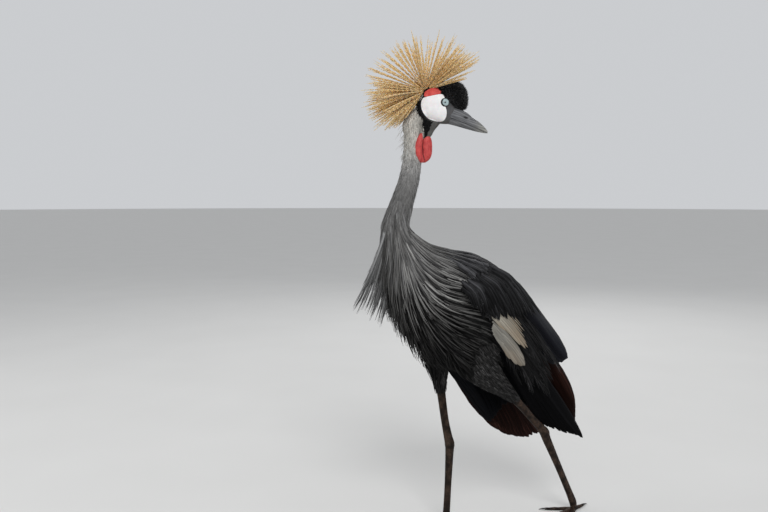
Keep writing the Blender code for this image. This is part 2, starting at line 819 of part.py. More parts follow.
def build_leg(side, rows, toe_in):
    name = "left" if side > 0 else "right"
    knee = (limb_way(rows["thigh"], 4.0) + limb_way(rows["shank"], 0.0)).normalized()
    hock = (limb_way(rows["shank"], 3.0) + limb_way(rows["tarsus"], 0.0)).normalized()
    down = Vector((0, 0, -1))
    thigh = limb(f"thigh_{name}", rows["thigh"], 7, 16, trim_end=GAP / 2, last_way=knee)
    body = trunk_length("body_room", TAIL_BASE, NECK_BASE, 11, GAP)
    cut(thigh, [body])
    shank = limb(f"shank_{name}", rows["shank"], 6, 12, GAP / 2, GAP / 2, knee, hock)
    tarsus = limb(f"tarsus_{name}", rows["tarsus"], 7, 12, GAP / 2, 0.0, hock, down)
    return [thigh, shank, tarsus, build_foot(side, rows["tarsus"][-1], toe_in)]


# ---- wings and tail --------------------------------------------------------------------------

# A folded wing lies in a gently hollow sheet along the flank, measured back from the wrist and
# up over the back. Its feathers are stacked in that sheet at even depths, so that none crosses.
TAIL_PAIRS = 4
TAIL_TIP = 0.495
WRIST = Vector((0.185, 0.0, 0.565))
BACK = Vector((-1, 0, -1)).normalized()
OVER = Vector((-1, 0, 1)).normalized()
DEPTH_STEP = 0.00145

# Feather groups from the outside in: count, then for the first and the last feather of the group
# the root (back, over) and the tip (back, over), half width, bluntness of the tip, step in depth.
LEFT_FEATHERS = (
    ("tertial", 4, (0.140, 0.078), (0.366, 0.104), (0.150, 0.022), (0.398, 0.076), 0.0205, 0.6, 0.0020, 2),
    ("secondary", 6, (0.175, 0.052), (0.430, 0.064), (0.175, 0.004), (0.499, 0.018), 0.0150, 0.5, 0.0016, 2),
    ("primary", 6, (0.190, 0.012), (0.553, -0.003), (0.190, -0.020), (0.440, -0.040), 0.0125, 0.1, 0.0014, 1),
)
RIGHT_FEATHERS = (
    ("tertial", 4, (0.140, 0.078), (0.362, 0.092), (0.150, 0.020), (0.398, 0.034), 0.0205, 0.6, 0.0020, 2),
    ("secondary", 7, (0.175, 0.040), (0.527, -0.050), (0.165, -0.058), (0.386, -0.137), 0.0190, 0.7, 0.0015, 2),
    ("primary", 5, (0.190, 0.030), (0.545, -0.010), (0.190, -0.010), (0.510, -0.040), 0.0125, 0.1, 0.0014, 1),
)
COVERTS = (
    ("covert", 3, (0.120, -0.010), (0.205, -0.020), (0.120, 0.030), (0.220, 0.042), 0.0150, 0.35),
    ("white_covert", 3, (0.135, -0.006), (0.256, -0.018), (0.135, 0.012), (0.235, 0.018), 0.0130, 0.45),
)
SCAPULAR_TIERS = (
    # root station, reach in stations, count, first and last angle, half width
    (6.95, 1.35, 4, 8, 78, 0.0100),
    (6.25, 1.45, 5, 7, 90, 0.0115),
    (5.55, 1.50, 5, 7, 90, 0.0130),
    (4.85, 1.55, 4, 7, 78, 0.0140),
    (4.15, 1.55, 4, 7, 62, 0.0140),
)
SHELL_START = 1.6
SHELL_END = 7.0
SHELL_LOW = 104.0
SHELL_HIGH = 3.0


def wing_point(side, back, over, height):
    """A point of a wing's sheet, height outwards from it."""
    hollow = mix(5.6, 2.2, smooth((back - 0.28) / 0.17))
    y = 0.093 - 0.020 * back - 0.085 * back * back - hollow * max(0.0, over) ** 2
    return WRIST + BACK * back + OVER * over + Vector((0, side * (y + height), 0))


def sheet_vane(name, side, root, tip, half_width, blunt, height, sag=0.006, lanes=1):
    """A flight feather in the wing's sheet, as a vane with like triangles on both faces."""
    shares = (0.0, 0.4, 0.75, 0.93, 1.0)
    widths = (0.5, 1.0, mix(0.72, 1.0, blunt), mix(0.30, 0.74, blunt), mix(0.06, 0.30, blunt))
    length = math.hypot(tip[0] - root[0], tip[1] - root[1])
    across = (-(tip[1] - root[1]) / length, (tip[0] - root[0]) / length)
    bm = bmesh.new()
    rows = []
    for t, w in zip(shares, widths):
        bow = sag * 4 * t * (1 - t)
        thick = mix(0.0009, 0.0006, t) / 2
        lines = [half_width * w * (2 * k / lanes - 1) + bow for k in range(lanes + 1)]
        b, o = mix(root[0], tip[0], t), mix(root[1], tip[1], t)
        top = [wing_point(side, b + across[0] * x, o + across[1] * x, height + thick) for x in lines]
        under = [wing_point(side, b + across[0] * x, o + across[1] * x, height - thick) for x in lines]
        rows.append(([bm.verts.new(p) for p in top], [bm.verts.new(p) for p in under]))
    for (top0, under0), (top1, under1) in zip(rows, rows[1:]):
        for k in range(lanes):
            bm.faces.new((top0[k], top0[k + 1], top1[k + 1]))
            bm.faces.new((top0[k], top1[k + 1], top1[k]))
            bm.faces.new((under0[k], under1[k + 1], under0[k + 1]))
            bm.faces.new((under0[k], under1[k], under1[k + 1]))
        bm.faces.new((top0[-1], under0[-1], under1[-1], top1[-1]))
        bm.faces.new((under0[0], top0[0], top1[0], under1[0]))
    for top, under in (rows[0], rows[-1]):
        bm.faces.new((*top, *reversed(under)))
    return finish_mesh(name, bm)


def wing_shell(name, side):
    """The folded arm against the body: a thick shell from inside the trunk to its outer skin."""
    stations = [mix(SHELL_START, SHELL_END, i / 6) for i in range(7)]
    angles = [mix(SHELL_HIGH, SHELL_LOW, k / 5) for k in range(6)]
    bm = bmesh.new()
    outer, inner = [], []
    for i, s in enumerate(stations):
        outer.append([])
        inner.append([])
        for k, angle in enumerate(angles):
            edge = min(i, len(stations) - 1 - i, k, len(angles) - 1 - k)
            thick = 0.0026 + 0.0050 * smooth(edge / 2)
            outer[-1].append(bm.verts.new(trunk_point(s, side * angle, thick)))
            inner[-1].append(bm.verts.new(trunk_point(s, side * angle, -0.004)))
    rows, columns = len(stations), len(angles)
    for i in range(rows - 1):
        for k in range(columns - 1):
            bm.faces.new((outer[i][k], outer[i][k + 1], outer[i + 1][k + 1], outer[i + 1][k]))
            bm.faces.new((inner[i][k], inner[i + 1][k], inner[i + 1][k + 1], inner[i][k + 1]))
    rim = [(i, 0) for i in range(rows)] + [(rows - 1, k) for k in range(1, columns)]
    rim += [(i, columns - 1) for i in range(rows - 2, -1, -1)] + [(0, k) for k in range(columns - 2, 0, -1)]
    for (i, k), (m, n) in zip(rim, rim[1:] + rim[:1]):
        bm.faces.new((outer[i][k], outer[m][n], inner[m][n], inner[i][k]))
    return finish_mesh(name, bm)


def feather_block(side, depth):
    """The hand of the wing, which holds the roots of all the flight feathers."""
    low = -0.036 if side > 0 else -0.070
    outline = (
        (0.085, -0.018),
        (0.145, mix(-0.018, low, 0.62)),
        (0.215, low),
        (0.240, -0.020),
        (0.245, 0.020),
        (0.225, 0.052),
        (0.170, 0.062),
        (0.100, 0.040),
    )
    centre = (0.165, 0.010)
    rings = []
    for height, size in ((-depth, 0.86), (-depth + 0.006, 1.0), (-0.0035, 1.0), (0.0008, 0.84)):
        ring = []
        for b, o in outline:
            ring.append(wing_point(side, mix(centre[0], b, size), mix(centre[1], o, size), height))
        rings.append(ring)
    return loft("feather_block", rings)


def leg_room(name, leg):
    """The space of a thigh with the gap round it, to be kept free of feathers."""
    knee = (limb_way(leg["thigh"], 4.0) + limb_way(leg["shank"], 0.0)).normalized()
    grown = [(x, y, z, depth + GAP, width + GAP) for x, y, z, depth, width in leg["thigh"]]
    return limb(name, grown, 7, 16, last_way=knee)


def build_wing(side, rng):
    name = "left" if side > 0 else "right"
    wing = wing_shell(f"wing_{name}", side)
    pieces = []
    depth = 0.0
    groups = LEFT_FEATHERS if side > 0 else RIGHT_FEATHERS
    for label, count, root0, tip0, root1, tip1, half, blunt, step, lanes in groups:
        for k in range(count):
            t = k / (count - 1)
            root = (mix(root0[0], root1[0], t), mix(root0[1], root1[1], t))
            tip = (mix(tip0[0], tip1[0], t), mix(tip0[1], tip1[1], t))
            depth += step
            width = half * rng.uniform(0.95, 1.05)
            pieces.append(sheet_vane(f"{label}_{k}", side, root, tip, width, blunt, -depth, lanes=lanes))
    pieces.append(feather_block(side, depth + 0.004))
    for label, count, root0, tip0, root1, tip1, half, blunt in COVERTS:
        for k in range(count):
            t = k / (count - 1)
            root = (mix(root0[0], root1[0], t), mix(root0[1], root1[1], t))
            tip = (mix(tip0[0], tip1[0], t), mix(tip0[1], tip1[1], t))
            height = 0.0002 + 0.0016 * (k % 2) + (0.0034 if label == "covert" else 0.0)
            pieces.append(sheet_vane(f"{label}_{k}", side, root, tip, half, blunt, height, 0.003))
    for tier, (root, reach, count, first, last, half) in enumerate(SCAPULAR_TIERS):
        for k in range(count):
            angle = mix(first, last, (k + (0.5 if tier % 2 else 0.3)) / count) * side
            reach_now = reach * rng.uniform(0.9, 1.1)
            drift = side * rng.uniform(-2.0, 2.0)
            path = [
                (root - reach_now * t, angle + drift * t, 0.0040 + 0.0072 * t) for t in (0.0, 0.35, 0.72, 1.0)
            ]
            widths = [half * w for w in (0.55, 1.0, 0.86, 0.22)]
            pieces.append(
                surface_vane(f"scapular_{tier}_{k}", path, widths, (0.001, 0.001, 0.0008, 0.0006), -6.5 * side)
            )
    fuse(wing, pieces)
    body = trunk_length("body_room", TAIL_BASE, NECK_BASE, 11, GAP)
    rump = trunk_length("rump_room", 0.0, TAIL_BASE, 3, GAP)
    legs = LEFT_LEG if side > 0 else RIGHT_LEG
    return cut(wing, [body, rump, leg_room("thigh_room", legs)])


def build_tail(rng):
    """The short tail, black vanes in a closed fan on the end of the body."""
    tail = trunk_length("tail", 0.0, TAIL_BASE - station_gap(TAIL_BASE), 3)
    pieces = []
    for k in range(TAIL_PAIRS):
        for side in (-1, 1):
            depth = 0.0014 * (2 * k + (side > 0))
            spread = side * (k + 0.5)
            y0, y1 = 0.0010 * spread, 0.0024 * spread
            centres, sides, normals = [], [], []
            for t in (0.0, 0.5, 0.88, 1.0):
                back = mix(0.395, TAIL_TIP - 0.006 * k, t)
                over = 0.010 - depth - 0.040 * t * t
                centres.append(WRIST + BACK * back + OVER * over + Vector((0, mix(y0, y1, t), 0)))
                sides.append(Vector((0, 1, 0)))
                normals.append(OVER)
            widths = [0.013 * w for w in (0.5, 1.0, 0.85, 0.35)]
            pieces.append(blade(f"tail_feather_{k}_{side}", centres, sides, normals, widths, [0.0007] * 4))
    return fuse(tail, pieces)


# ---- the whole bird --------------------------------------------------------------------------

COLOURS = {
    "torso": ((0.12, 0.12, 0.125), 0.85),
    "neck": ((0.42, 0.42, 0.40), 0.85),
    "head": ((0.80, 0.80, 0.78), 0.6),
    "forehead": ((0.012, 0.012, 0.014), 0.95),
    "bill": ((0.10, 0.10, 0.105), 0.45),
    "eye": ((0.50, 0.62, 0.66), 0.1),
    "wattle": ((0.62, 0.06, 0.05), 0.5),
    "crest": ((0.62, 0.43, 0.20), 0.7),
    "wing": ((0.06, 0.06, 0.068), 0.7),
    "tail": ((0.02, 0.02, 0.022), 0.7),
    "thigh": ((0.10, 0.10, 0.105), 0.85),
    "shank": ((0.055, 0.052, 0.055), 0.6),
    "tarsus": ((0.055, 0.052, 0.055), 0.6),
    "foot": ((0.05, 0.047, 0.05), 0.6),
}


def centre_over_floor(nodes):
    """Puts the middle of the model's box over the origin, with the soles at height 0."""
    points = [v.co for node in nodes for v in node.data.vertices]
    low = [min(p[i] for p in points) for i in range(3)]
    high = [max(p[i] for p in points) for i in range(3)]
    shift = Vector((-(low[0] + high[0]) / 2, -(low[1] + high[1]) / 2, -low[2]))
    for node in nodes:
        node.data.transform(Matrix.Translation(shift))


def main():
    for obj in list(bpy.data.objects):
        bpy.data.objects.remove(obj)
    rng = random.Random(SEED)
    nodes = [build_torso(rng), *build_neck(), build_head(), *build_eyes(), *build_bill()]
    nodes += [build_cushion(), build_crest(rng), build_wattle()]
    nodes += build_leg(1, LEFT_LEG, 4.0)
    nodes += build_leg(-1, RIGHT_LEG, -2.0)
    nodes += [build_wing(1, rng), build_wing(-1, rng), build_tail(rng)]
    centre_over_floor(nodes)
    crane = bpy.data.collections.new("grey_crowned_crane")
    bpy.context.scene.collection.children.link(crane)
    for node in nodes:
        bpy.context.scene.collection.objects.unlink(node)
        crane.objects.link(node)
        colour, roughness = COLOURS[node.name.split("_")[0]]
        paint(node, colour, roughness)


main()
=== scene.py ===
import math

import bmesh
import bpy
import numpy as np
from mathutils import Matrix, Vector
from mathutils.bvhtree import BVHTree


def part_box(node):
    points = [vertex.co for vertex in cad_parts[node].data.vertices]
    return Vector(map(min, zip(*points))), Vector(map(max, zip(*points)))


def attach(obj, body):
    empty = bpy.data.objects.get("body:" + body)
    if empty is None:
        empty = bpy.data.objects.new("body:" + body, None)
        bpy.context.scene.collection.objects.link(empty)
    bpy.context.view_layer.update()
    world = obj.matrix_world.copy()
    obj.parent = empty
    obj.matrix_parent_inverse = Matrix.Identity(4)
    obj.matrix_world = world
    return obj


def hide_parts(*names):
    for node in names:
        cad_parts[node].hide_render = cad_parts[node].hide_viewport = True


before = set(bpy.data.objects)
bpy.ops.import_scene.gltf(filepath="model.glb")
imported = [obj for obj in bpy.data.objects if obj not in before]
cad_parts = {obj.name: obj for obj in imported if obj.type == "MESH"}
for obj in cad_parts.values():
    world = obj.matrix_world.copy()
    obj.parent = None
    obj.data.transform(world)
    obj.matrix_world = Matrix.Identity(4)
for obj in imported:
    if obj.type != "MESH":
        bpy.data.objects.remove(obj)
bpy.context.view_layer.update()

# ---- The stand -------------------------------------------------------------------------------
# The crane stands on a museum floor with its soles flat on it. Everything below is measured in the
# bird's own frame: +X the way the body faces, +Y its left, +Z up, and the point midway between the
# eyes is the anchor, which the two packed eyeballs give.

EYE_POINT = np.array((0.1806, 0.0337, 0.9015))


def middle_of(node):
    low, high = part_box(node)
    return np.array((low + high) / 2)


PLACE = (middle_of("eye_left") + middle_of("eye_right")) / 2 - EYE_POINT

VIEW_FROM = np.array((1.028, 1.260, 0.72))
VIEW_YAW = 240.0
VIEW_DIP = 4.67
LENS_MM = 35.0


def look_camera():
    """The camera stands ahead and to the left of the bird, a little over its back."""
    yaw, dip = math.radians(VIEW_YAW), math.radians(VIEW_DIP)
    ahead = Vector((math.cos(yaw) * math.cos(dip), math.sin(yaw) * math.cos(dip), -math.sin(dip)))
    right = ahead.cross(Vector((0, 0, 1))).normalized()
    turn = Matrix((right, right.cross(ahead), -ahead)).transposed()
    data = bpy.data.cameras.new("museum_view")
    data.lens = LENS_MM
    data.sensor_width = 36.0
    camera = bpy.data.objects.new("museum_view", data)
    camera.matrix_world = Matrix.Translation(Vector(VIEW_FROM + PLACE)) @ turn.to_4x4()
    bpy.context.scene.collection.objects.link(camera)
    bpy.context.scene.camera = camera


look_camera()

# ---- The floor and the light -----------------------------------------------------------------
# A wide plain floor in pale matt plaster, lit by a large soft lamp in front, a weaker one from the
# other side and one from behind, under an even pale sky of light.

FLOOR_RADIUS = 40.0


def plaster():
    material = bpy.data.materials.new("floor_plaster")
    material.use_nodes = True
    nodes, links = material.node_tree.nodes, material.node_tree.links
    shader = nodes["Principled BSDF"]
    place = nodes.new("ShaderNodeTexCoord")
    grain = nodes.new("ShaderNodeTexNoise")
    grain.inputs["Scale"].default_value = 3.0
    tint = nodes.new("ShaderNodeMix")
    tint.data_type = "RGBA"
    tint.inputs["A"].default_value = (0.63, 0.625, 0.61, 1)
    tint.inputs["B"].default_value = (0.67, 0.665, 0.65, 1)
    links.new(place.outputs["Object"], grain.inputs["Vector"])
    links.new(grain.outputs["Fac"], tint.inputs["Factor"])
    links.new(tint.outputs["Result"], shader.inputs["Base Color"])
    shader.inputs["Roughness"].default_value = 0.9
    return material


def mesh_from(name, bm):
    mesh = bpy.data.meshes.new(name)
    bm.to_mesh(mesh)
    bm.free()
    return mesh


def lay_floor():
    bm = bmesh.new()
    bmesh.ops.create_circle(bm, cap_ends=True, segments=96, radius=FLOOR_RADIUS)
    mesh = mesh_from("floor", bm)
    mesh.materials.append(plaster())
    floor = bpy.data.objects.new("floor", mesh)
    bpy.context.scene.collection.objects.link(floor)


def hang_lamp(name, spot, aim, size, watts):
    data = bpy.data.lights.new(name, "AREA")
    data.shape = "DISK"
    data.size = size
    data.energy = watts
    lamp = bpy.data.objects.new(name, data)
    way = (Vector(aim) - Vector(spot)).normalized()
    lamp.matrix_world = Matrix.Translation(Vector(spot)) @ way.to_track_quat("-Z", "Y").to_matrix().to_4x4()
    bpy.context.scene.collection.objects.link(lamp)


lay_floor()
hang_lamp("key_lamp", (1.2, 2.6, 3.0), (0, 0, 0.6), 1.6, 66)
hang_lamp("fill_lamp", (2.6, -1.6, 1.8), (0, 0, 0.5), 2.0, 18)
hang_lamp("rim_lamp", (-2.2, -2.2, 2.6), (0, 0, 0.6), 1.4, 30)
world = bpy.data.worlds.new("studio")
world.use_nodes = True
world.node_tree.nodes["Background"].inputs["Color"].default_value = (0.90, 0.92, 0.95, 1)
world.node_tree.nodes["Background"].inputs["Strength"].default_value = 0.66
bpy.context.scene.world = world
bpy.context.scene.view_settings.view_transform = "Standard"

# ---- The skin --------------------------------------------------------------------------------
# One skin covers the trunk, the neck, the head, both legs and the feet without a seam. It is bare on
# the face, the shins and the toes, and it carries the roots of the feathers everywhere else, a coat's
# depth under their tips.

# The path of trunk and neck: x forward, z up, half depth and half width over the coat.
TRUNK = (
    (-0.112, 0.276, 0.007, 0.016),
    (-0.075, 0.310, 0.020, 0.026),
    (-0.034, 0.356, 0.048, 0.047),
    (0.015, 0.412, 0.089, 0.069),
    (0.078, 0.456, 0.114, 0.084),
    (0.1425, 0.5006, 0.1097, 0.088),
    (0.2018, 0.5444, 0.0832, 0.080),
    (0.2475, 0.5921, 0.0530, 0.058),
    (0.2745, 0.650, 0.0288, 0.0290),
    (0.2592, 0.705, 0.0236, 0.0232),
    (0.2434, 0.750, 0.0212, 0.0208),
    (0.2364, 0.790, 0.0197, 0.0196),
    (0.2357, 0.830, 0.0175, 0.0173),
    (0.2365, 0.862, 0.0200, 0.0185),
)
NECK_TOP = len(TRUNK) - 1
BODY_COAT = 0.0035
NECK_COAT = 0.0030
# Skull sections along the bill's direction: station, height of the centre, half height, half width.
SKULL = (
    (-0.053, -0.014, 0.0050, 0.0040),
    (-0.047, -0.014, 0.0180, 0.0120),
    (-0.034, -0.0100, 0.0312, 0.0182),
    (-0.018, -0.0105, 0.0345, 0.0205),
    (-0.004, -0.015, 0.0290, 0.0200),
    (0.008, -0.019, 0.0230, 0.0170),
    (0.020, -0.0205, 0.0175, 0.0125),
)
HEAD_YAW = 150.0
BILL_DIP = 20.0
EYE_OUT = 0.0105
LID_RADIUS = 0.0079
LID_HALF_THICK = 0.0011
LID_HALF_DEEP = 0.0017
NAPE_RADIUS = 0.0165
EYE_SEAT = (-0.0014, -0.0030)
HEAD_FROM = 0.862
HEAD_GRAIN = 0.0010
BODY_GRAIN = 0.0036
# Each leg from the hip down: x, y, z, half depth fore and aft, half width across.
LEFT_LEG = (
    (0.140, 0.040, 0.430, 0.046, 0.026),
    (0.112, 0.050, 0.380, 0.040, 0.026),
    (0.072, 0.054, 0.340, 0.028, 0.020),
    (0.036, 0.054, 0.310, 0.0165, 0.0140),
    (0.009, 0.053, 0.287, 0.0095, 0.0082),
    (-0.034, 0.052, 0.244, 0.0080, 0.0064),
    (-0.064, 0.051, 0.214, 0.0096, 0.0076),
    (-0.077, 0.050, 0.201, 0.0112, 0.0088),
    (-0.0845, 0.0495, 0.184, 0.0098, 0.0080),
    (-0.1220, 0.047, 0.116, 0.0080, 0.0062),
    (-0.1580, 0.044, 0.050, 0.0080, 0.0064),
    (-0.1730, 0.042, 0.022, 0.0088, 0.0074),
    (-0.178, 0.0415, 0.004, 0.0070, 0.0058),
)
RIGHT_LEG = (
    (0.150, -0.038, 0.440, 0.042, 0.026),
    (0.142, -0.044, 0.385, 0.034, 0.024),
    (0.1375, -0.046, 0.345, 0.0215, 0.0180),
    (0.1350, -0.046, 0.318, 0.0135, 0.0120),
    (0.1330, -0.045, 0.300, 0.0098, 0.0086),
    (0.1265, -0.040, 0.240, 0.0088, 0.0070),
    (0.120, -0.036, 0.200, 0.0098, 0.0076),
    (0.117, -0.034, 0.183, 0.0112, 0.0088),
    (0.1180, -0.033, 0.166, 0.0096, 0.0078),
    (0.1240, -0.029, 0.100, 0.0080, 0.0062),
    (0.1300, -0.025, 0.045, 0.0080, 0.0064),
    (0.1340, -0.023, 0.022, 0.0088, 0.0074),
    (0.135, -0.023, 0.004, 0.0070, 0.0058),
)
BARE_FROM = 4.0
# Each toe: degrees from straight ahead, length, pads.
TOES = (
    ("middle", 0.0, 0.086, 4),
    ("inner", 36.0, 0.066, 3),
    ("outer", -34.0, 0.070, 4),
    ("hind", 172.0, 0.038, 2),
)
TOE_HALF_WIDTH = 0.0050
TOE_HEIGHT = 0.0083
# How long the plates down the front and the back of a leg are, the beads between them, a toe's plates.
FRONT_PLATE = 0.0052
BACK_PLATE = 0.0060
BEAD = 0.0024
TOE_PLATE = 0.0034
# Each foot: its leg, how many degrees its middle toe turns from straight ahead, its side.
FEET = (("left", LEFT_LEG, 4.0, 1), ("right", RIGHT_LEG, -2.0, -1))


def smooth(t):
    t = np.clip(t, 0.0, 1.0)
    return t * t * (3 - 2 * t)


def mix(a, b, t):
    return a + (b - a) * t


def unit(v):
    return v / np.maximum(np.linalg.norm(v, axis=-1, keepdims=True), 1e-12)


def column(values):
    return np.asarray(values, float)[..., None]


def on_rows(rows, s):
    """The rows of a table read at stations s, on a smooth curve through all of them."""
    rows, s = np.asarray(rows, float), np.asarray(s, float)
    last = len(rows) - 1
    i = np.clip(np.floor(s).astype(int), 0, last - 1)
    t = column(s - i)
    p0, p1, p2, p3 = (rows[np.clip(i + k, 0, last)] for k in (-1, 0, 1, 2))
    curve = 2 * p1 + (p2 - p0) * t + (2 * p0 - 5 * p1 + 4 * p2 - p3) * t * t
    return 0.5 * (curve + (3 * p1 - p0 - 3 * p2 + p3) * t * t * t)


def trunk_point(s, angle, height):
    """Points over the trunk's coat. Angle 0 is the back, 90 the left side and 180 the belly."""
    s, angle, height = np.broadcast_arrays(*(np.asarray(v, float) for v in (s, angle, height)))
    row = on_rows(TRUNK, s)
    step = 0.02
    ahead = on_rows(TRUNK, s + step)[..., :2] - on_rows(TRUNK, s - step)[..., :2]
    ahead = unit(ahead)
    turn = np.radians(angle)
    rise = (row[..., 2] + height) * np.cos(turn)
    across = (row[..., 3] + height) * np.sin(turn)
    return np.stack([row[..., 0] - ahead[..., 1] * rise, across, row[..., 1] + ahead[..., 0] * rise], -1)


def trunk_slopes(s, angle, height=0.0):
    """How a point over the trunk moves per station and per degree, and the way out of the skin."""
    along = (trunk_point(s + 0.03, angle, height) - trunk_point(s - 0.03, angle, height)) / 0.06
    round_it = (trunk_point(s, angle + 1.0, height) - trunk_point(s, angle - 1.0, height)) / 2.0
    return along, round_it, unit(np.cross(along, round_it))


def head_axes():
    yaw, dip = math.radians(HEAD_YAW), math.radians(BILL_DIP)
    level = np.array((math.cos(yaw), math.sin(yaw), 0.0))
    up = np.array((0, 0, 1.0))
    ahead = level * math.cos(dip) - up * math.sin(dip)
    crown = level * math.sin(dip) + up * math.cos(dip)
    return level, ahead, crown, np.cross(ahead, crown)


LEVEL, AHEAD, CROWN, RIGHT = head_axes()
UPRIGHT = np.array((0, 0, 1.0))


def head_point(forward, up, right=0.0):
    """Points in the head's frame: along the bill, towards the crown and to the bird's right."""
    forward, up, right = np.broadcast_arrays(*(np.asarray(v, float) for v in (forward, up, right)))
    return EYE_POINT + column(forward) * AHEAD + column(up) * CROWN + column(right) * RIGHT


def new_piece(name, mesh, material=None):
    """An object at the origin, with its place in its mesh."""
    if material:
        mesh.materials.append(material)
    piece = bpy.data.objects.new(name, mesh)
    bpy.context.scene.collection.objects.link(piece)
    return piece


def finished(name, bm):
    """A closed mesh with its faces outwards, moved from the bird's frame to the floor's."""
    bm.normal_update()
    bmesh.ops.recalc_face_normals(bm, faces=bm.faces)
    if bm.calc_volume(signed=True) < 0:
        bmesh.ops.reverse_faces(bm, faces=bm.faces)
    bmesh.ops.translate(bm, verts=bm.verts, vec=Vector(PLACE))
    mesh = mesh_from(name, bm)
    mesh.shade_smooth()
    return mesh


def tube(name, along, around, place):
    """A closed body: place(t, turn) gives its points at share t along it and share turn round it."""
    bm = bmesh.new()
    bmesh.ops.create_grid(bm, x_segments=along, y_segments=around, size=0.5)
    spots = np.array([v.co for v in bm.verts])
    points = place(np.clip(spots[:, 0] + 0.5, 0, 1), np.clip(spots[:, 1] + 0.5, 0, 1))
    for v, p in zip(bm.verts, points):
        v.co = p
    bmesh.ops.remove_doubles(bm, verts=bm.verts, dist=1e-6)
    bmesh.ops.holes_fill(bm, edges=bm.edges, sides=0)
    return finished(name, bm)


def ring_tube(name, rows, along, around, lay):
    """A tube through table rows: lay(row) gives centre, first and second half axes."""

    def place(t, turn):
        centre, first, second = lay(on_rows(rows, t * (len(rows) - 1)))
        angle = column(turn * 2 * math.pi)
        return centre + first * np.cos(angle) + second * np.sin(angle)

    return tube(name, along, around, place)


def coat_depth(s):
    return mix(BODY_COAT, NECK_COAT, smooth((s - 7.5) / 1.0))


def trunk_skin(t, turn):
    s = mix(0.35, NECK_TOP - 0.15, t)
    angle = turn * 360.0
    return trunk_point(s, angle, -coat_depth(s))


def skull():
    """The head is a little squarer in section than an ellipse."""

    def place(t, turn):
        row = on_rows(SKULL, t * (len(SKULL) - 1))
        up, out = np.cos(turn * 2 * math.pi), np.sin(turn * 2 * math.pi)
        square = 0.80
        up, out = np.sign(up) * np.abs(up) ** square, np.sign(out) * np.abs(out) ** square
        tall, wide = row[..., 2] - 0.0002, row[..., 3] - 0.0002
        return head_point(row[..., 0], row[..., 1] + tall * up, wide * out)

    return tube("skull", 48, 56, place)


def nape_tube():
    """The top of the neck, which runs up into the back of the skull."""
    start = trunk_point(NECK_TOP - 0.6, 0, -on_rows(TRUNK, NECK_TOP - 0.6)[2])
    top = trunk_point(NECK_TOP, 0, -on_rows(TRUNK, NECK_TOP)[2])
    inside = head_point(-0.020, -0.012)

    def place(t, turn):
        path = np.array([start, mix(start, top, 0.9), mix(top, inside, 0.4), mix(top, inside, 0.8), inside])
        centre = on_rows(path, t * 4)
        ahead = unit(on_rows(path, t * 4 + 0.05) - on_rows(path, t * 4 - 0.05))
        first = unit(np.cross(np.broadcast_to(RIGHT, ahead.shape), ahead))
        second = np.cross(ahead, first)
        angle = column(turn * 2 * math.pi)
        return centre + first * NAPE_RADIUS * np.cos(angle) + second * NAPE_RADIUS * np.sin(angle)

    return tube("nape", 16, 40, place)


THROAT = (
    (-0.020, -0.024, 0.0200, 0.0128),
    (-0.030, -0.042, 0.0190, 0.0113),
    (-0.0375, -0.055, 0.0160, 0.0093),
    (-0.0420, -0.0665, 0.0140, 0.0078),
    (-0.0440, -0.0720, 0.0080, 0.0050),
)


def throat_lay(row):
    centre = EYE_POINT + column(row[..., 0]) * LEVEL + column(row[..., 1]) * UPRIGHT
    return centre, column(row[..., 2]) * LEVEL, column(row[..., 3]) * RIGHT


def lid_ring(side):
    """The bare rim of skin round an eye, thick as a soft cord."""
    centre = head_point(*EYE_SEAT, side * (EYE_OUT + 0.0052))

    def place(t, turn):
        round_eye = column(t * 2 * math.pi)
        spoke = AHEAD * np.cos(round_eye) + CROWN * np.sin(round_eye)
        section = column(turn * 2 * math.pi)
        rim = centre + spoke * (LID_RADIUS + 0.0002) + spoke * LID_HALF_THICK * np.cos(section)
        return rim + RIGHT * side * LID_HALF_DEEP * np.sin(section)

    bm = bmesh.new()
    bm.from_mesh(tube(f"lid_{side}", 40, 12, place))
    bmesh.ops.remove_doubles(bm, verts=bm.verts, dist=1e-6)
    caps = [f for f in bm.faces if len(f.verts) > 4]
    bmesh.ops.delete(bm, geom=caps, context="FACES_ONLY")
    return mesh_from(f"lid_{side}", bm)


def joined(name, meshes):
    """Several closed meshes in one, for a remesh to fuse."""
    bm = bmesh.new()
    for mesh in meshes:
        bm.from_mesh(mesh)
        bpy.data.meshes.remove(mesh)
    return mesh_from(name, bm)


def fused(name, meshes, grain, rounds):
    """One closed surface round several bodies, its steps smoothed away."""
    piece = new_piece(name, joined(name, meshes))
    remesh = piece.modifiers.new("fuse", "REMESH")
    remesh.mode = "VOXEL"
    remesh.voxel_size = grain
    relax = piece.modifiers.new("relax", "SMOOTH")
    relax.iterations = rounds
    relax.factor = 0.5
    return piece


def applied(piece):
    """Writes a piece's modifiers into its mesh."""
    bpy.context.view_layer.update()
    graph = bpy.context.evaluated_depsgraph_get()
    mesh = bpy.data.meshes.new_from_object(piece.evaluated_get(graph))
    piece.modifiers.clear()
    piece.data = mesh
    mesh.shade_smooth()
    return piece


def leg_path(rows, s):
    """Centres, the way down, the way forward and the way across along a leg."""
    row = on_rows(rows, s)
    down = unit(on_rows(rows, s + 0.12)[..., :3] - on_rows(rows, s - 0.12)[..., :3])
    fore = unit(np.cross(np.broadcast_to((0.0, 1.0, 0.0), down.shape), down))
    across = np.cross(down, fore)
    return row, down, fore, across


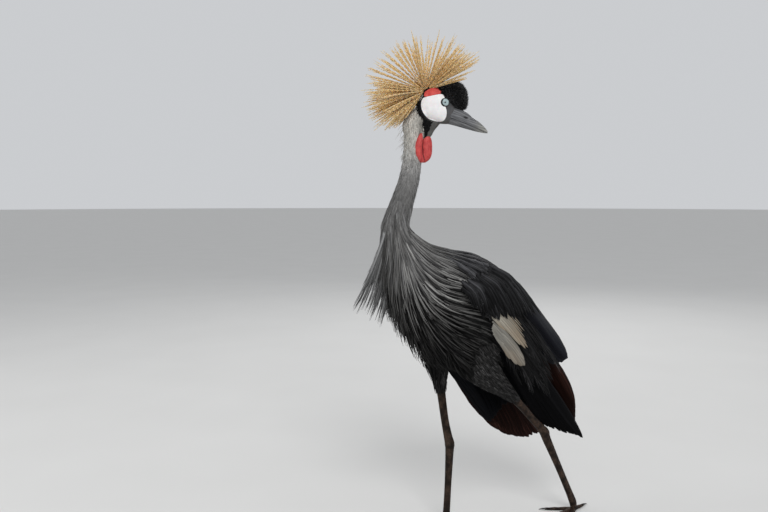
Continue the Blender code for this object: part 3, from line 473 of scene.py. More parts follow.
def leg_tube(name, rows, start, end, along, around, swell):
    """A stretch of leg: swell(s, angle) lifts its scales over the even surface."""

    def place(t, turn):
        s = mix(start, end, t)
        row, _, fore, across = leg_path(rows, s)
        angle = turn * 2 * math.pi
        lift = swell(s, angle)
        first = column((row[..., 3] + lift) * np.cos(angle)) * fore
        second = column((row[..., 4] + lift) * np.sin(angle)) * across
        points = row[..., :3] + first + second
        points[..., 2] = np.maximum(points[..., 2], 0.0)
        return points

    return tube(name, along, around, place)


def thigh_swell(s, _):
    """The feathered thigh lies a coat's depth inside its tips."""
    return -BODY_COAT * smooth((BARE_FROM - 0.6 - s) / 0.8)


def scale_swell(rows):
    """Overlapping plates down the front of the shin and small round scales behind and on the joint."""
    path = on_rows(rows, np.linspace(0, len(rows) - 1, 600))[:, :3]
    run = np.concatenate([[0], np.cumsum(np.linalg.norm(np.diff(path, axis=0), axis=1))])

    def lift(s, angle):
        distance = np.interp(s, np.linspace(0, len(rows) - 1, 600), run)
        plate = (distance / FRONT_PLATE + 0.14 * np.cos(2 * angle)) % 1.0
        front = smooth((np.cos(angle) - 0.25) / 0.3)
        back_plate = (distance / BACK_PLATE + 0.5) % 1.0
        back = smooth((-np.cos(angle) - 0.55) / 0.3)
        ring = distance / BEAD
        bead = np.cos(ring * math.pi) * np.cos(angle * 9 + math.pi * np.floor(ring))
        steps = front * 0.00030 * plate**1.5 + back * 0.00022 * back_plate**1.5
        return steps + (1 - front) * (1 - back) * 0.00014 * bead - 0.00012

    return lift


def toes_of(rows, toe_in, side):
    """Each toe of a foot: its name, where it starts, the ways along and across it, length and pads."""
    ankle = np.array((rows[-1][0], rows[-1][1], 0.0))
    toes = []
    for label, heading, length, pads in TOES:
        way = math.radians(toe_in - side * heading)
        along = np.array((math.cos(way), math.sin(way), 0.0))
        toes.append((label, ankle, along, np.array((-along[1], along[0], 0.0)), length, pads))
    return toes


def toe_mesh(label, ankle, along, across, length, pads):
    """A toe on its flat sole, with its rows of pads below and plates above."""

    def place(t, turn):
        run = mix(-0.06, 1.0, t)
        girth = on_rows(((0.8,), (1.0,), (0.9,), (0.86,), (0.72,), (0.36,)), t * 5)[..., 0]
        knuckle = 1.0 + 0.07 * np.cos(run * pads * 2 * math.pi)
        angle = turn * 2 * math.pi
        plate = (run * length / TOE_PLATE) % 1.0
        wide = TOE_HALF_WIDTH * girth * knuckle
        tall = TOE_HEIGHT * mix(1.0, 0.62, t) * mix(1.0, knuckle, 0.5)
        side = np.cos(angle)
        high = np.sin(angle)
        lift = np.where(high > 0, 0.00022 * plate * smooth(high / 0.5), 0)
        z = np.where(high > 0, tall * (0.42 + 0.58 * high), tall * 0.42 * (1 + high) ** 0.8) + lift
        sole = smooth((-high - 0.55) / 0.3)
        z = z * (1 - sole)
        spot = ankle + column(run * length) * along + column(wide * side * mix(1.0, 0.82, sole)) * across
        return spot + column(z) * UPRIGHT

    return tube(f"toe_{label}", round(length / 0.0012), 22, place)


def unite(piece, others):
    """Joins closed meshes to a piece in one Boolean step."""
    group = bpy.data.collections.new(piece.name + "_parts")
    for other in others:
        bpy.context.scene.collection.objects.unlink(other)
        group.objects.link(other)
    bpy.context.scene.collection.children.link(group)
    union = piece.modifiers.new("unite", "BOOLEAN")
    union.operation = "UNION"
    union.operand_type = "COLLECTION"
    union.collection = group
    union.solver = "MANIFOLD"
    applied(piece)
    for other in others:
        bpy.data.objects.remove(other)
    bpy.data.collections.remove(group)
    return piece


def build_skin():
    trunk = tube("trunk", 150, 72, trunk_skin)
    thighs = [leg_tube(f"thigh_{i}", rows, 0.0, BARE_FROM + 0.3, 24, 36, thigh_swell)
              for i, rows in enumerate((LEFT_LEG, RIGHT_LEG))]
    skin = applied(fused("skin", [trunk, *thighs], BODY_GRAIN, 6))
    throat = ring_tube("throat", THROAT, 16, 32, throat_lay)
    bodies = [skull(), nape_tube(), throat, lid_ring(-1), lid_ring(1)]
    others = [applied(fused("head_skin", bodies, HEAD_GRAIN, 5))]
    for name, rows, toe_in, side in FEET:
        shin = leg_tube(f"shin_{name}", rows, BARE_FROM - 0.35, len(rows) - 1.0, 330, 32, scale_swell(rows))
        others.append(new_piece(f"shin_{name}", shin))
        for toe in toes_of(rows, toe_in, side):
            others.append(new_piece(f"toe_{name}_{toe[0]}", toe_mesh(*toe)))
    return unite(skin, others)


skin = build_skin()
# The skin's colours lie in soft zones: white cheeks under a red patch, a black band round them, slate
# lores and throat, near black under the body feathers as painted shade, and dusty dark brown on the
# bare legs.

CHEEK = ((-0.0453, -0.0111), (-0.0431, -0.0076), (-0.0270, 0.0020), (-0.0110, 0.0116), (-0.0050, 0.0063),
         (-0.0009, -0.0071), (0.0059, -0.0140), (0.0100, -0.0232), (0.0106, -0.0324), (0.0075, -0.0385),
         (-0.0019, -0.0422), (-0.0158, -0.0436), (-0.0281, -0.0405), (-0.0385, -0.0326), (-0.0450, -0.0201))
RED_PATCH = ((-0.0431, -0.0076), (-0.0456, 0.0010), (-0.0445, 0.0060), (-0.0285, 0.0224), (-0.0250, 0.0210),
             (-0.0180, 0.0162), (-0.0110, 0.0116), (-0.0270, 0.0020))
SLATE = np.array((0.095, 0.095, 0.098))
BLACK_AND_SHADE = np.array((0.010, 0.010, 0.011))
NECK_GREY = np.array((0.19, 0.185, 0.175))
SHIN = np.array((0.0125, 0.0078, 0.0056))


def nearest(points, path):
    """Which of a path's places is nearest to each point."""
    return np.concatenate([
        np.argmin(((part[:, None] - path[None]) ** 2).sum(-1), axis=1)
        for part in np.array_split(points, max(1, len(points) // 4000))
    ])


def station_of(points):
    """The trunk station nearest to each point, and its angle round the trunk."""
    stations = np.linspace(0, NECK_TOP, 521)
    path = on_rows(TRUNK, stations)[:, (0, 1)]
    ahead = unit(on_rows(TRUNK, stations + 0.02)[:, :2] - on_rows(TRUNK, stations - 0.02)[:, :2])
    best = nearest(points[:, (0, 2)], path)
    offset = points[:, (0, 2)] - path[best]
    dorsal = -offset[:, 0] * ahead[best, 1] + offset[:, 1] * ahead[best, 0]
    return stations[best], np.degrees(np.arctan2(points[:, 1], dorsal)) % 360


def leg_station_of(points):
    """The nearest leg station, the angle round the leg, the distance from its middle, and the side."""
    found = []
    for rows in (LEFT_LEG, RIGHT_LEG):
        stations = np.linspace(0, len(rows) - 1, 241)
        row, _, fore, across = leg_path(rows, stations)
        best = nearest(points, row[:, :3])
        offset = points - row[best, :3]
        angle = np.degrees(np.arctan2((offset * across[best]).sum(-1), (offset * fore[best]).sum(-1))) % 360
        found.append((stations[best], angle, np.linalg.norm(offset, axis=-1)))
    left = points[:, 1] > 0
    return tuple(np.where(left, a, b) for a, b in zip(*found)) + (left,)


def head_frame(points):
    offset = points - EYE_POINT
    return offset @ AHEAD, offset @ CROWN, offset @ RIGHT


def inside_by(outline, x, y):
    """How far points lie inside an outline, negative outside."""
    best = np.full(len(x), np.inf)
    inside = np.zeros(len(x), bool)
    for (x0, y0), (x1, y1) in zip(outline, outline[1:] + outline[:1]):
        dx, dy = x1 - x0, y1 - y0
        t = np.clip(((x - x0) * dx + (y - y0) * dy) / (dx * dx + dy * dy), 0, 1)
        best = np.minimum(best, np.hypot(x - x0 - t * dx, y - y0 - t * dy))
        crosses = (y0 > y) != (y1 > y)
        inside ^= crosses & (x < x0 + (y - y0) * dx / (dy if dy else 1e-9))
    return np.where(inside, best, -best)


def rounded(outline, steps=4):
    """An outline with its corners cut round."""
    points = [np.array(p) for p in outline]
    for _ in range(steps):
        pairs = list(zip(points, points[1:] + points[:1]))
        points = [q for a, b in pairs for q in (a * 0.75 + b * 0.25, a * 0.25 + b * 0.75)]
    return [tuple(p) for p in points]


def bake_spot(points, region):
    """A place on the unwrap of the skin: the trunk and the head unrolled, the legs and feet beside them."""
    if region == "head":
        f, u, r = head_frame(points)
        angle = np.degrees(np.arctan2(r, u + 0.013)) % 360
        return np.stack([0.52 + 0.46 * angle / 360, 0.53 + 0.45 * np.clip((f + 0.062) / 0.095, 0, 1)], -1)
    if region == "trunk":
        s, angle = station_of(points)
        return np.stack([0.02 + 0.46 * angle / 360, 0.02 + 0.96 * s / NECK_TOP], -1)
    if region == "foot":
        left = points[:, 1] > 0
        ankle = np.where(left[:, None], LEFT_LEG[-1][:2], RIGHT_LEG[-1][:2])
        offset = points[:, :2] - ankle + (0.06, 0.08)
        return np.stack([np.where(left, 0.52, 0.76) + offset[:, 0], 0.36 + offset[:, 1]], -1)
    s, angle, _, left = leg_station_of(points)
    u = np.where(left, 0.52, 0.76) + 0.20 * angle / 360
    return np.stack([u, 0.02 + 0.32 * np.clip((12.0 - s) / 9.0, 0, 1)], -1)


def region_of(points):
    """Which part of the unwrap each point belongs to."""
    _, _, reach, _ = leg_station_of(points)
    region = np.full(len(points), "trunk", dtype=object)
    region[points[:, 2] > HEAD_FROM] = "head"
    region[(points[:, 2] < 0.330) & (reach < 0.03)] = "leg"
    region[points[:, 2] < 0.021] = "foot"
    return region


def add_layer(mesh, name, values):
    """A named value or colour on every point of a mesh."""
    values = np.asarray(values, np.float32)
    if values.ndim == 1:
        mesh.attributes.new(name, "FLOAT", "POINT").data.foreach_set("value", values)
    else:
        colour = np.concatenate([values, np.ones((len(values), 1), np.float32)], 1)
        mesh.attributes.new(name, "FLOAT_COLOR", "POINT").data.foreach_set("color", colour.ravel())


def read_all(items, name, kind=float, width=1):
    """One value, or one row of width values, for every vertex, corner or face of a mesh."""
    values = np.empty(len(items) * width, kind)
    items.foreach_get(name, values)
    return values if width == 1 else values.reshape(-1, width)


def mesh_points(mesh):
    return read_all(mesh.vertices, "co", np.float32, 3).astype(float) - PLACE


def add_map(mesh, name, spots):
    """A named map with one place for every corner."""
    mesh.uv_layers.new(name=name).data.foreach_set("uv", spots.astype(np.float32).ravel())


def unroll(mesh, spots, *others):
    """Gives a mesh its bake map, and others like it, with one place for each point."""
    corners = read_all(mesh.loops, "vertex_index", int)
    for name in ("OFBake", *others):
        add_map(mesh, name, spots[corners])


def unwrap_skin(mesh):
    """Unrolls every face within the region of its middle, so that no face spans a seam."""
    points = mesh_points(mesh)
    corners = read_all(mesh.loops, "vertex_index", int)
    starts, sizes = (read_all(mesh.polygons, name, int) for name in ("loop_start", "loop_total"))
    face = np.repeat(np.arange(len(starts)), sizes)
    order = np.repeat(starts, sizes) + np.arange(len(corners)) - np.repeat(np.cumsum(sizes) - sizes, sizes)
    middle = np.zeros((len(starts), 3))
    np.add.at(middle, face, points[corners[order]])
    middle /= sizes[:, None]
    region = region_of(middle)
    spots = np.zeros((len(corners), 2))
    for label, width in (("trunk", 0.46), ("head", 0.46), ("leg", 0.20), ("foot", 9.0)):
        mine = np.nonzero(region[face] == label)[0]
        if not len(mine):
            continue
        spot = bake_spot(points[corners[order[mine]]], label)
        heart = bake_spot(middle[face[mine]], label)
        turns = np.round((heart[:, 0] - spot[:, 0]) / width)
        spot[:, 0] += turns * width
        spots[order[mine]] = spot
    add_map(mesh, "OFBake", spots)


def colour_skin(mesh):
    points = mesh_points(mesh)
    s, _ = station_of(points)
    leg_s, _, _, _ = leg_station_of(points)
    f, u, r = head_frame(points)
    on_head = smooth((points[:, 2] - HEAD_FROM) / 0.012)
    # Under the body feathers the skin is painted near black as shade in the gaps between them; the neck's is
    # grey.
    ground = mix(BLACK_AND_SHADE * 1.3, NECK_GREY * 0.55, column(smooth((s - 7.0) / 1.6)))
    face = np.tile(BLACK_AND_SHADE, (len(points), 1))
    face = mix(face, SLATE, column(smooth((f - 0.002) / 0.006)))
    level, low = (points - EYE_POINT) @ LEVEL, -0.043 - (points - EYE_POINT)[:, 2]
    throat = smooth((low + 0.004) / 0.006) * smooth((level + 0.0256 + 0.416 * low) / 0.002)
    face = mix(face, SLATE * 1.15, column(throat))
    nape = smooth((-0.050 - f) / 0.004)
    face = mix(face, NECK_GREY * 0.6, column(nape))
    ground = mix(ground, face, column(on_head))
    bare = smooth((leg_s - BARE_FROM + 0.25) / 0.2) * (points[:, 2] < 0.33)
    ground = mix(ground, SHIN, column(bare))
    add_layer(mesh, "ground", ground)
    add_layer(mesh, "bare_leg", bare)
    socket = np.hypot(f - EYE_SEAT[0], u - EYE_SEAT[1]) - 0.0082
    add_layer(mesh, "lid", smooth((0.0004 - socket) / 0.0006) * on_head)
    side = np.minimum(np.abs(r) - 0.0035, socket)
    add_layer(mesh, "cheek_in", np.minimum(inside_by(rounded(CHEEK), f, u), side))
    add_layer(mesh, "red_in", np.minimum(inside_by(rounded(RED_PATCH, 2), f, u), np.abs(r) - 0.0030))


class Graph:
    """Short words for wiring a material's nodes."""

    def __init__(self, tree):
        self.tree = tree

    def node(self, kind, **settings):
        made = self.tree.nodes.new("ShaderNode" + kind)
        for key, value in settings.items():
            setattr(made, key, value)
        return made

    def feed(self, socket, value):
        if isinstance(value, bpy.types.NodeSocket):
            self.tree.links.new(value, socket)
        elif isinstance(value, (tuple, list, np.ndarray)):
            value = tuple(float(v) for v in value)
            socket.default_value = (*value, 1.0) if len(socket.default_value) == len(value) + 1 else value
        else:
            socket.default_value = value

    def fill(self, node, values):
        for key, value in values.items():
            self.feed(node.inputs[key], value)

    def wire(self, kind, output, values, **settings):
        """One output of a new node whose inputs are filled."""
        made = self.node(kind, **settings)
        self.fill(made, values)
        return made.outputs[output]

    def math(self, operation, *values):
        return self.wire("Math", "Value", dict(enumerate(values)), operation=operation)

    def blend(self, share, a, b, kind="MIX"):
        values = {"Factor": share, "A": a, "B": b}
        return self.wire("Mix", "Result", values, data_type="RGBA", blend_type=kind)

    def ramp(self, value, low, high, to_low=0.0, to_high=1.0):
        numbers = {"Value": value, "From Min": low, "From Max": high, "To Min": to_low, "To Max": to_high}
        return self.wire("MapRange", "Result", numbers, interpolation_type="SMOOTHSTEP")

    def layer(self, name, output="Fac"):
        return self.wire("Attribute", output, {}, attribute_name=name)

    def place(self, scale=(1, 1, 1)):
        at = self.wire("TexCoord", "Object", {})
        return self.wire("Mapping", "Vector", {"Vector": at, "Scale": scale})

    def vector(self, x, y, z=0.0):
        return self.wire("CombineXYZ", "Vector", {"X": x, "Y": y, "Z": z})

    def noise(self, vector, scale, detail, rough=0.55):
        values = {"Vector": vector, "Scale": scale, "Detail": detail, "Roughness": rough}
        return self.wire("TexNoise", "Fac", values)

    def cells(self, vector, scale):
        return self.wire("TexVoronoi", "Distance", {"Vector": vector, "Scale": scale})

    def bump(self, height, strength, distance):
        values = {"Height": height, "Strength": strength, "Distance": distance}
        return self.wire("Bump", "Normal", values)

    def vane(self, barbs, slant, streak):
        """What the shader group of every vane gives."""
        made = self.node("Group", node_tree=feather_vane)
        self.fill(made, {"Barbs": barbs, "Slant": slant, "Streak": streak})
        return made.outputs


def new_finish(name, roughness, sheen=0.0, shine=0.5):
    """A material with its shader ready, and the words to wire it."""
    material = bpy.data.materials.new(name)
    material.use_nodes = True
    shader = material.node_tree.nodes["Principled BSDF"]
    g = Graph(material.node_tree)
    g.fill(shader, {"Roughness": roughness, "Sheen Weight": sheen, "Specular IOR Level": shine})
    return material, shader, g


def skin_finish():
    material, shader, g = new_finish("crane_skin", 0.55, shine=0.12)
    at = g.place()
    fine = g.noise(at, 900.0, 4.0)
    mottle = g.noise(at, 120.0, 4.0)
    broad = g.noise(at, 65.0, 4.0)
    colour = g.blend(g.ramp(mottle, 0.3, 0.7), g.layer("ground", "Color"), (0.5, 0.5, 0.5), "MULTIPLY")
    ground = g.blend(0.5, g.layer("ground", "Color"), colour)
    scales = g.cells(at, 560.0)
    leg = g.layer("bare_leg")
    dusty = g.blend(g.ramp(scales, 0.2, 0.75), ground, (0.066, 0.042, 0.029))
    worn = g.blend(g.math("MULTIPLY", leg, g.ramp(broad, 0.38, 0.62, 0.0, 0.95)), ground, dusty)
    red = g.blend(g.ramp(mottle, 0.25, 0.75), (0.50, 0.052, 0.046), (0.66, 0.110, 0.095))
    white = g.blend(g.ramp(mottle, 0.3, 0.75), (0.80, 0.785, 0.785), (0.87, 0.860, 0.858))
    edge = g.math("MULTIPLY_ADD", g.math("SUBTRACT", mottle, 0.5), 0.0012, g.layer("red_in"))
    colour = g.blend(g.ramp(edge, -0.0002, 0.0005), worn, red)
    edge = g.math("MULTIPLY_ADD", g.math("SUBTRACT", fine, 0.5), 0.0008, g.layer("cheek_in"))
    cheek = g.ramp(edge, -0.0002, 0.0004)
    colour = g.blend(cheek, colour, white)
    g.feed(shader.inputs["Base Color"], g.blend(g.layer("lid"), colour, (0.014, 0.016, 0.018)))
    g.feed(shader.inputs["Roughness"], g.ramp(mottle, 0.2, 0.8, 0.45, 0.68))
    height = g.math("MULTIPLY_ADD", g.math("MULTIPLY", scales, leg), 2.0, g.math("MULTIPLY", fine, 0.5))
    g.feed(shader.inputs["Normal"], g.bump(g.math("ADD", height, mottle), 0.5, 0.0004))
    g.fill(shader, {"Subsurface Weight": 0.06, "Subsurface Scale": 0.003})
    return material


unwrap_skin(skin.data)
colour_skin(skin.data)
skin.data.materials.clear()
skin.data.materials.append(skin_finish())
skin.data.polygons.foreach_set("material_index", [0] * len(skin.data.polygons))
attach(skin, "root")
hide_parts("torso", "neck_lower", "neck_middle", "neck_upper", "head")
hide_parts("thigh_left", "thigh_right", "shank_left", "shank_right")
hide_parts("tarsus_left", "tarsus_right", "foot_left", "foot_right")

# ---- The neck's feathers ---------------------------------------------------------------------
# The neck wears short, hair-fine feathers that grow longer downwards, pale ash-grey with streaks, each
# a thin closed vane whose root sits in the skin and whose tip lies over the next ones.

SEED = 7
TUFT_PATCH = 0.003
PIECE_TRIANGLES = 190000


def plant_tree(mesh):
    """The skin as a search tree in the bird's frame."""
    points = mesh_points(mesh)
    faces = [tuple(p.vertices) for p in mesh.polygons]
    return BVHTree.FromPolygons([tuple(p) for p in points], faces)


def skin_samples(mesh):
    """Middle, direction and area of every face of a mesh, in the bird's frame."""
    middle, normal = (read_all(mesh.polygons, name, width=3) for name in ("center", "normal"))
    return middle - PLACE, normal, read_all(mesh.polygons, "area")


def scatter(rng, density, count, apart):
    """Roots on the skin, thicker where density is high, and none closer than apart."""
    middle, _, area = skin_faces
    weight = area * density(middle)
    chosen = rng.choice(len(area), size=count, p=weight / weight.sum())
    jitter = rng.uniform(-0.5, 0.5, (count, 3)) * np.sqrt(area[chosen])[:, None]
    roots = middle[chosen] + jitter
    taken, kept = {}, []
    for i, cell in enumerate(map(tuple, np.floor(roots / apart).astype(int))):
        near = [j for dx in (-1, 0, 1) for dy in (-1, 0, 1) for dz in (-1, 0, 1)
                for j in taken.get((cell[0] + dx, cell[1] + dy, cell[2] + dz), ())]
        if all(np.sum((roots[i] - roots[j]) ** 2) > apart * apart for j in near):
            taken.setdefault(cell, []).append(i)
            kept.append(i)
    return roots[kept]


def on_skin(points):
    """The nearest places on the skin and the way out of it there."""
    spots, ways = np.empty_like(points), np.empty_like(points)
    for i, p in enumerate(points):
        spot, way, _, _ = skin_tree.find_nearest(Vector(p))
        spots[i], ways[i] = spot, way
    return spots, ways


def lie(roots, way, lengths, steps):
    """Shafts that follow the skin from their roots: places on it and the way out at each step."""
    spots, outs = on_skin(roots)
    path, normals = [spots], [outs]
    for _ in range(steps):
        ahead = way(spots)
        ahead = unit(ahead - outs * (ahead * outs).sum(-1, keepdims=True))
        spots, outs = on_skin(spots + ahead * column(lengths) / steps)
        outs = unit(outs + normals[-1] * 0.5)
        path.append(spots)
        normals.append(outs)
    return np.stack(path, 1), np.stack(normals, 1)


def tailwards(points):
    """The way down the trunk's path towards the tail."""
    s, _ = station_of(points)
    ahead = unit(on_rows(TRUNK, s + 0.1)[:, :2] - on_rows(TRUNK, s - 0.1)[:, :2])
    return -np.stack([ahead[:, 0], np.zeros(len(s)), ahead[:, 1]], -1)


def quad_mesh(name, points, quads):
    mesh = bpy.data.meshes.new(name)
    mesh.vertices.add(len(points))
    mesh.vertices.foreach_set("co", np.asarray(points + PLACE, np.float32).ravel())
    mesh.loops.add(quads.size)
    mesh.loops.foreach_set("vertex_index", quads.astype(np.int32).ravel())
    mesh.polygons.add(len(quads))
    mesh.polygons.foreach_set("loop_start", np.arange(0, quads.size, 4, dtype=np.int32))
    mesh.update(calc_edges=True)
    mesh.shade_smooth()
    return mesh


def vane_quads(steps, ring):
    """The faces of one closed vane with a ring of points at each step."""
    quads = []
    for k in range(steps):
        for i in range(ring):
            a, b = k * ring + i, k * ring + (i + 1) % ring
            quads.append((a, b, b + ring, a + ring))
    half = ring // 2
    for base, turned in ((0, True), (steps * ring, False)):
        for i in range(half - 1):
            cap = (base + i, base + i + 1, base + ring - 2 - i, base + ring - 1 - i)
            quads.append(tuple(reversed(cap)) if turned else cap)
    return np.array(quads)


def vane_points(centres, normals, half_widths, thickness, crown, roll=0.0, lanes=2):
    """Closed vanes round shafts through centres, arched across by crown. Rings start at the left edge."""
    ahead = unit(np.gradient(centres, axis=1))
    sides = unit(np.cross(ahead, normals))
    outs = np.cross(sides, ahead)
    turn = np.radians(np.broadcast_to(np.asarray(roll, float), centres.shape[:1]))[:, None, None]
    sides, outs = sides * np.cos(turn) + outs * np.sin(turn), outs * np.cos(turn) - sides * np.sin(turn)
    over = np.linspace(-1, 1, lanes + 1)
    ring = [(x, 0.5) for x in over] + [(x, -0.5) for x in over[::-1]]
    points = []
    for x, face in ring:
        wide = half_widths[..., None] * x
        arch = half_widths[..., None] * crown * (1 - x * x)
        thin = np.asarray(thickness)[..., None] * face * (1.0 if abs(x) < 1 else 0.35)
        points.append(centres + sides * wide + outs * (arch + thin))
    return np.stack(points, 2)


def make_coat(name, points, tones, material, shade, spots=None, replaced=()):
    """Joins vanes into pieces of under 200,000 triangles, with their colours and their bake patches."""
    count, steps, ring = points.shape[0], points.shape[1] - 1, points.shape[2]
    quads = vane_quads(steps, ring)
    each = len(quads) * 2
    parts = max(1, math.ceil(count * each / PIECE_TRIANGLES))
    lanes = ring // 2 - 1
    across = np.concatenate([np.linspace(0, 1, lanes + 1), np.linspace(1, 0, lanes + 1)])
    along = np.linspace(0, 1, steps + 1)
    vane = np.stack(np.broadcast_arrays(across[None, :], along[:, None]), -1).reshape(-1, 2)
    if spots is None:
        roots = points[:, 0].mean(1)
        spots = np.zeros((count, 2))
        region = region_of(roots)
        for label in ("trunk", "head", "leg", "foot"):
            mine = region == label
            if mine.any():
                spots[mine] = bake_spot(roots[mine], label)
    for k, mine in enumerate(np.array_split(np.arange(count), parts)):
        title = name if parts == 1 else f"{name}_{k + 1}"
        size = (steps + 1) * ring
        faces = (quads[None] + (np.arange(len(mine)) * size)[:, None, None]).reshape(-1, 4)
        mesh = quad_mesh(title, points[mine].reshape(-1, 3), faces)
        corner = faces.ravel()
        uv = vane[corner % size]
        if spots.ndim == 2:
            patch = np.clip(spots[mine][corner // size] + (uv - 0.5) * TUFT_PATCH, 0, 1)
        else:
            under = (corner % ring) > lanes
            cell = spots[mine][corner // size]
            half = uv[:, 0] * 0.48 + np.where(under, 0.52, 0.0)
            patch = cell[:, 0] + np.stack([half, uv[:, 1]], -1) * cell[:, 1]
        add_map(mesh, "OFBake", patch)
        add_map(mesh, "vane", uv)
        mesh.uv_layers["OFBake"].active_render = True
        colour = np.broadcast_to(tones[mine][:, None, None] if tones.ndim == 2 else tones[mine][:, :, None],
                                 (len(mine), steps + 1, ring, 3))
        add_layer(mesh, "tone", colour.reshape(-1, 3))
        add_layer(mesh, "shade", np.repeat(shade[mine], size))
        piece = new_piece(title, mesh, material)
        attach(piece, "root")
    if replaced:
        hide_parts(*replaced)


def feather_group():
    """One shader group for every vane: its shaft, its barbs and its fringe, read from the vane's own map."""
    tree = bpy.data.node_groups.new("feather_vane", "ShaderNodeTree")
    for label in ("Barbs", "Slant", "Streak"):
        tree.interface.new_socket(name=label, in_out="INPUT", socket_type="NodeSocketFloat")
    for label in ("Shaft", "Barb", "Edge", "Mottle"):
        tree.interface.new_socket(name=label, in_out="OUTPUT", socket_type="NodeSocketFloat")
    g = Graph(tree)
    given = tree.nodes.new("NodeGroupInput").outputs
    out = tree.nodes.new("NodeGroupOutput").inputs
    uv = g.node("UVMap", uv_map="vane").outputs["UV"]
    split = g.node("SeparateXYZ")
    g.fill(split, {"Vector": uv})
    across, along = split.outputs["X"], split.outputs["Y"]
    off = g.math("ABSOLUTE", g.math("SUBTRACT", across, 0.5))
    off = g.math("MULTIPLY", off, 2.0)
    g.feed(out["Shaft"], g.ramp(off, given["Streak"], 0.0))
    run = g.math("MULTIPLY", along, given["Barbs"])
    run = g.math("SUBTRACT", run, g.math("MULTIPLY", off, given["Slant"]))
    at = g.place()
    run = g.math("MULTIPLY_ADD", g.layer("shade"), 13.0, run)
    wave = g.math("SINE", g.math("MULTIPLY", g.math("ADD", run, g.noise(at, 60.0, 2.0)), 6.2832))
    g.feed(out["Barb"], g.math("MULTIPLY_ADD", wave, 0.5, 0.5))
    g.feed(out["Edge"], g.ramp(off, 0.55, 1.0))
    lanes = g.math("MULTIPLY", across, 7.0)
    streaks = g.vector(lanes, g.math("MULTIPLY", along, 1.6), g.math("MULTIPLY", g.layer("shade"), 40.0))
    g.feed(out["Mottle"], g.noise(streaks, 1.6, 3.0))
    return tree


feather_vane = feather_group()


def feather_finish(name, barbs, slant, streak, dark, light, edge, roughness, sheen, shine=0.12):
    """A feather's material: dark, light and edge scale its tone between barbs, on the shaft, at the rim."""
    material, shader, g = new_finish(name, roughness, sheen, shine)
    vane = g.vane(barbs, slant, streak)
    tone = g.layer("tone", "Color")
    low, high, rim = (g.blend(1.0, tone, (value,) * 3, "MULTIPLY") for value in (dark, light, edge))
    mottle = vane["Mottle"]
    share = g.math("MULTIPLY_ADD", vane["Shaft"], 0.75, g.ramp(mottle, 0.35, 0.70, 0.0, 0.5))
    colour = g.blend(g.math("MINIMUM", share, 1.0), low, high)
    colour = g.blend(g.math("MULTIPLY", vane["Edge"], 0.7), colour, rim)
    barb = g.math("MULTIPLY", vane["Barb"], 0.22)
    colour = g.blend(barb, colour, (0.0, 0.0, 0.0))
    g.feed(shader.inputs["Base Color"], colour)
    height = g.math("MULTIPLY_ADD", vane["Barb"], 0.5, vane["Shaft"])
    g.feed(shader.inputs["Normal"], g.bump(height, 0.5, 0.0003))
    g.feed(shader.inputs["Roughness"], g.ramp(mottle, 0.2, 0.8, roughness - 0.1, roughness + 0.12))
    return material


def taper(shares, full, tip, root=0.5):
    """Half widths along a lance-shaped vane: root, full at a third, drawn out to the tip."""
    t = np.asarray(shares)
    closing = mix(1.0, tip, np.maximum((t - 0.35) / 0.65, 0) ** full)
    return np.where(t < 0.35, mix(root, 1.0, smooth(t / 0.35)), closing)


def neck_density(points):
    s, _ = station_of(points)
    f, u, _ = head_frame(points)
    level = (points - EYE_POINT) @ LEVEL
    neck = smooth((s - 7.6) / 0.6) * (points[:, 2] < HEAD_FROM)
    behind = inside_by(rounded(CHEEK), f, u) < -0.0058
    nape = (points[:, 2] >= 0.845) * behind * (level < -0.0435) * (points[:, 2] < 0.918)
    chin = (points[:, 2] > 0.836) & (level > -0.0425)
    return np.where(chin, 0.0, np.maximum(neck, nape) * (0.6 + 0.4 * smooth((s - 9) / 3)))


def neck_way(points):
    way = tailwards(points)
    high = smooth((points[:, 2] - 0.866) / 0.03)
    down = -UPRIGHT * 0.95 - LEVEL * 0.35
    return mix(way, np.broadcast_to(down, way.shape), column(high))


skin_tree = plant_tree(skin.data)
skin_faces = skin_samples(skin.data)


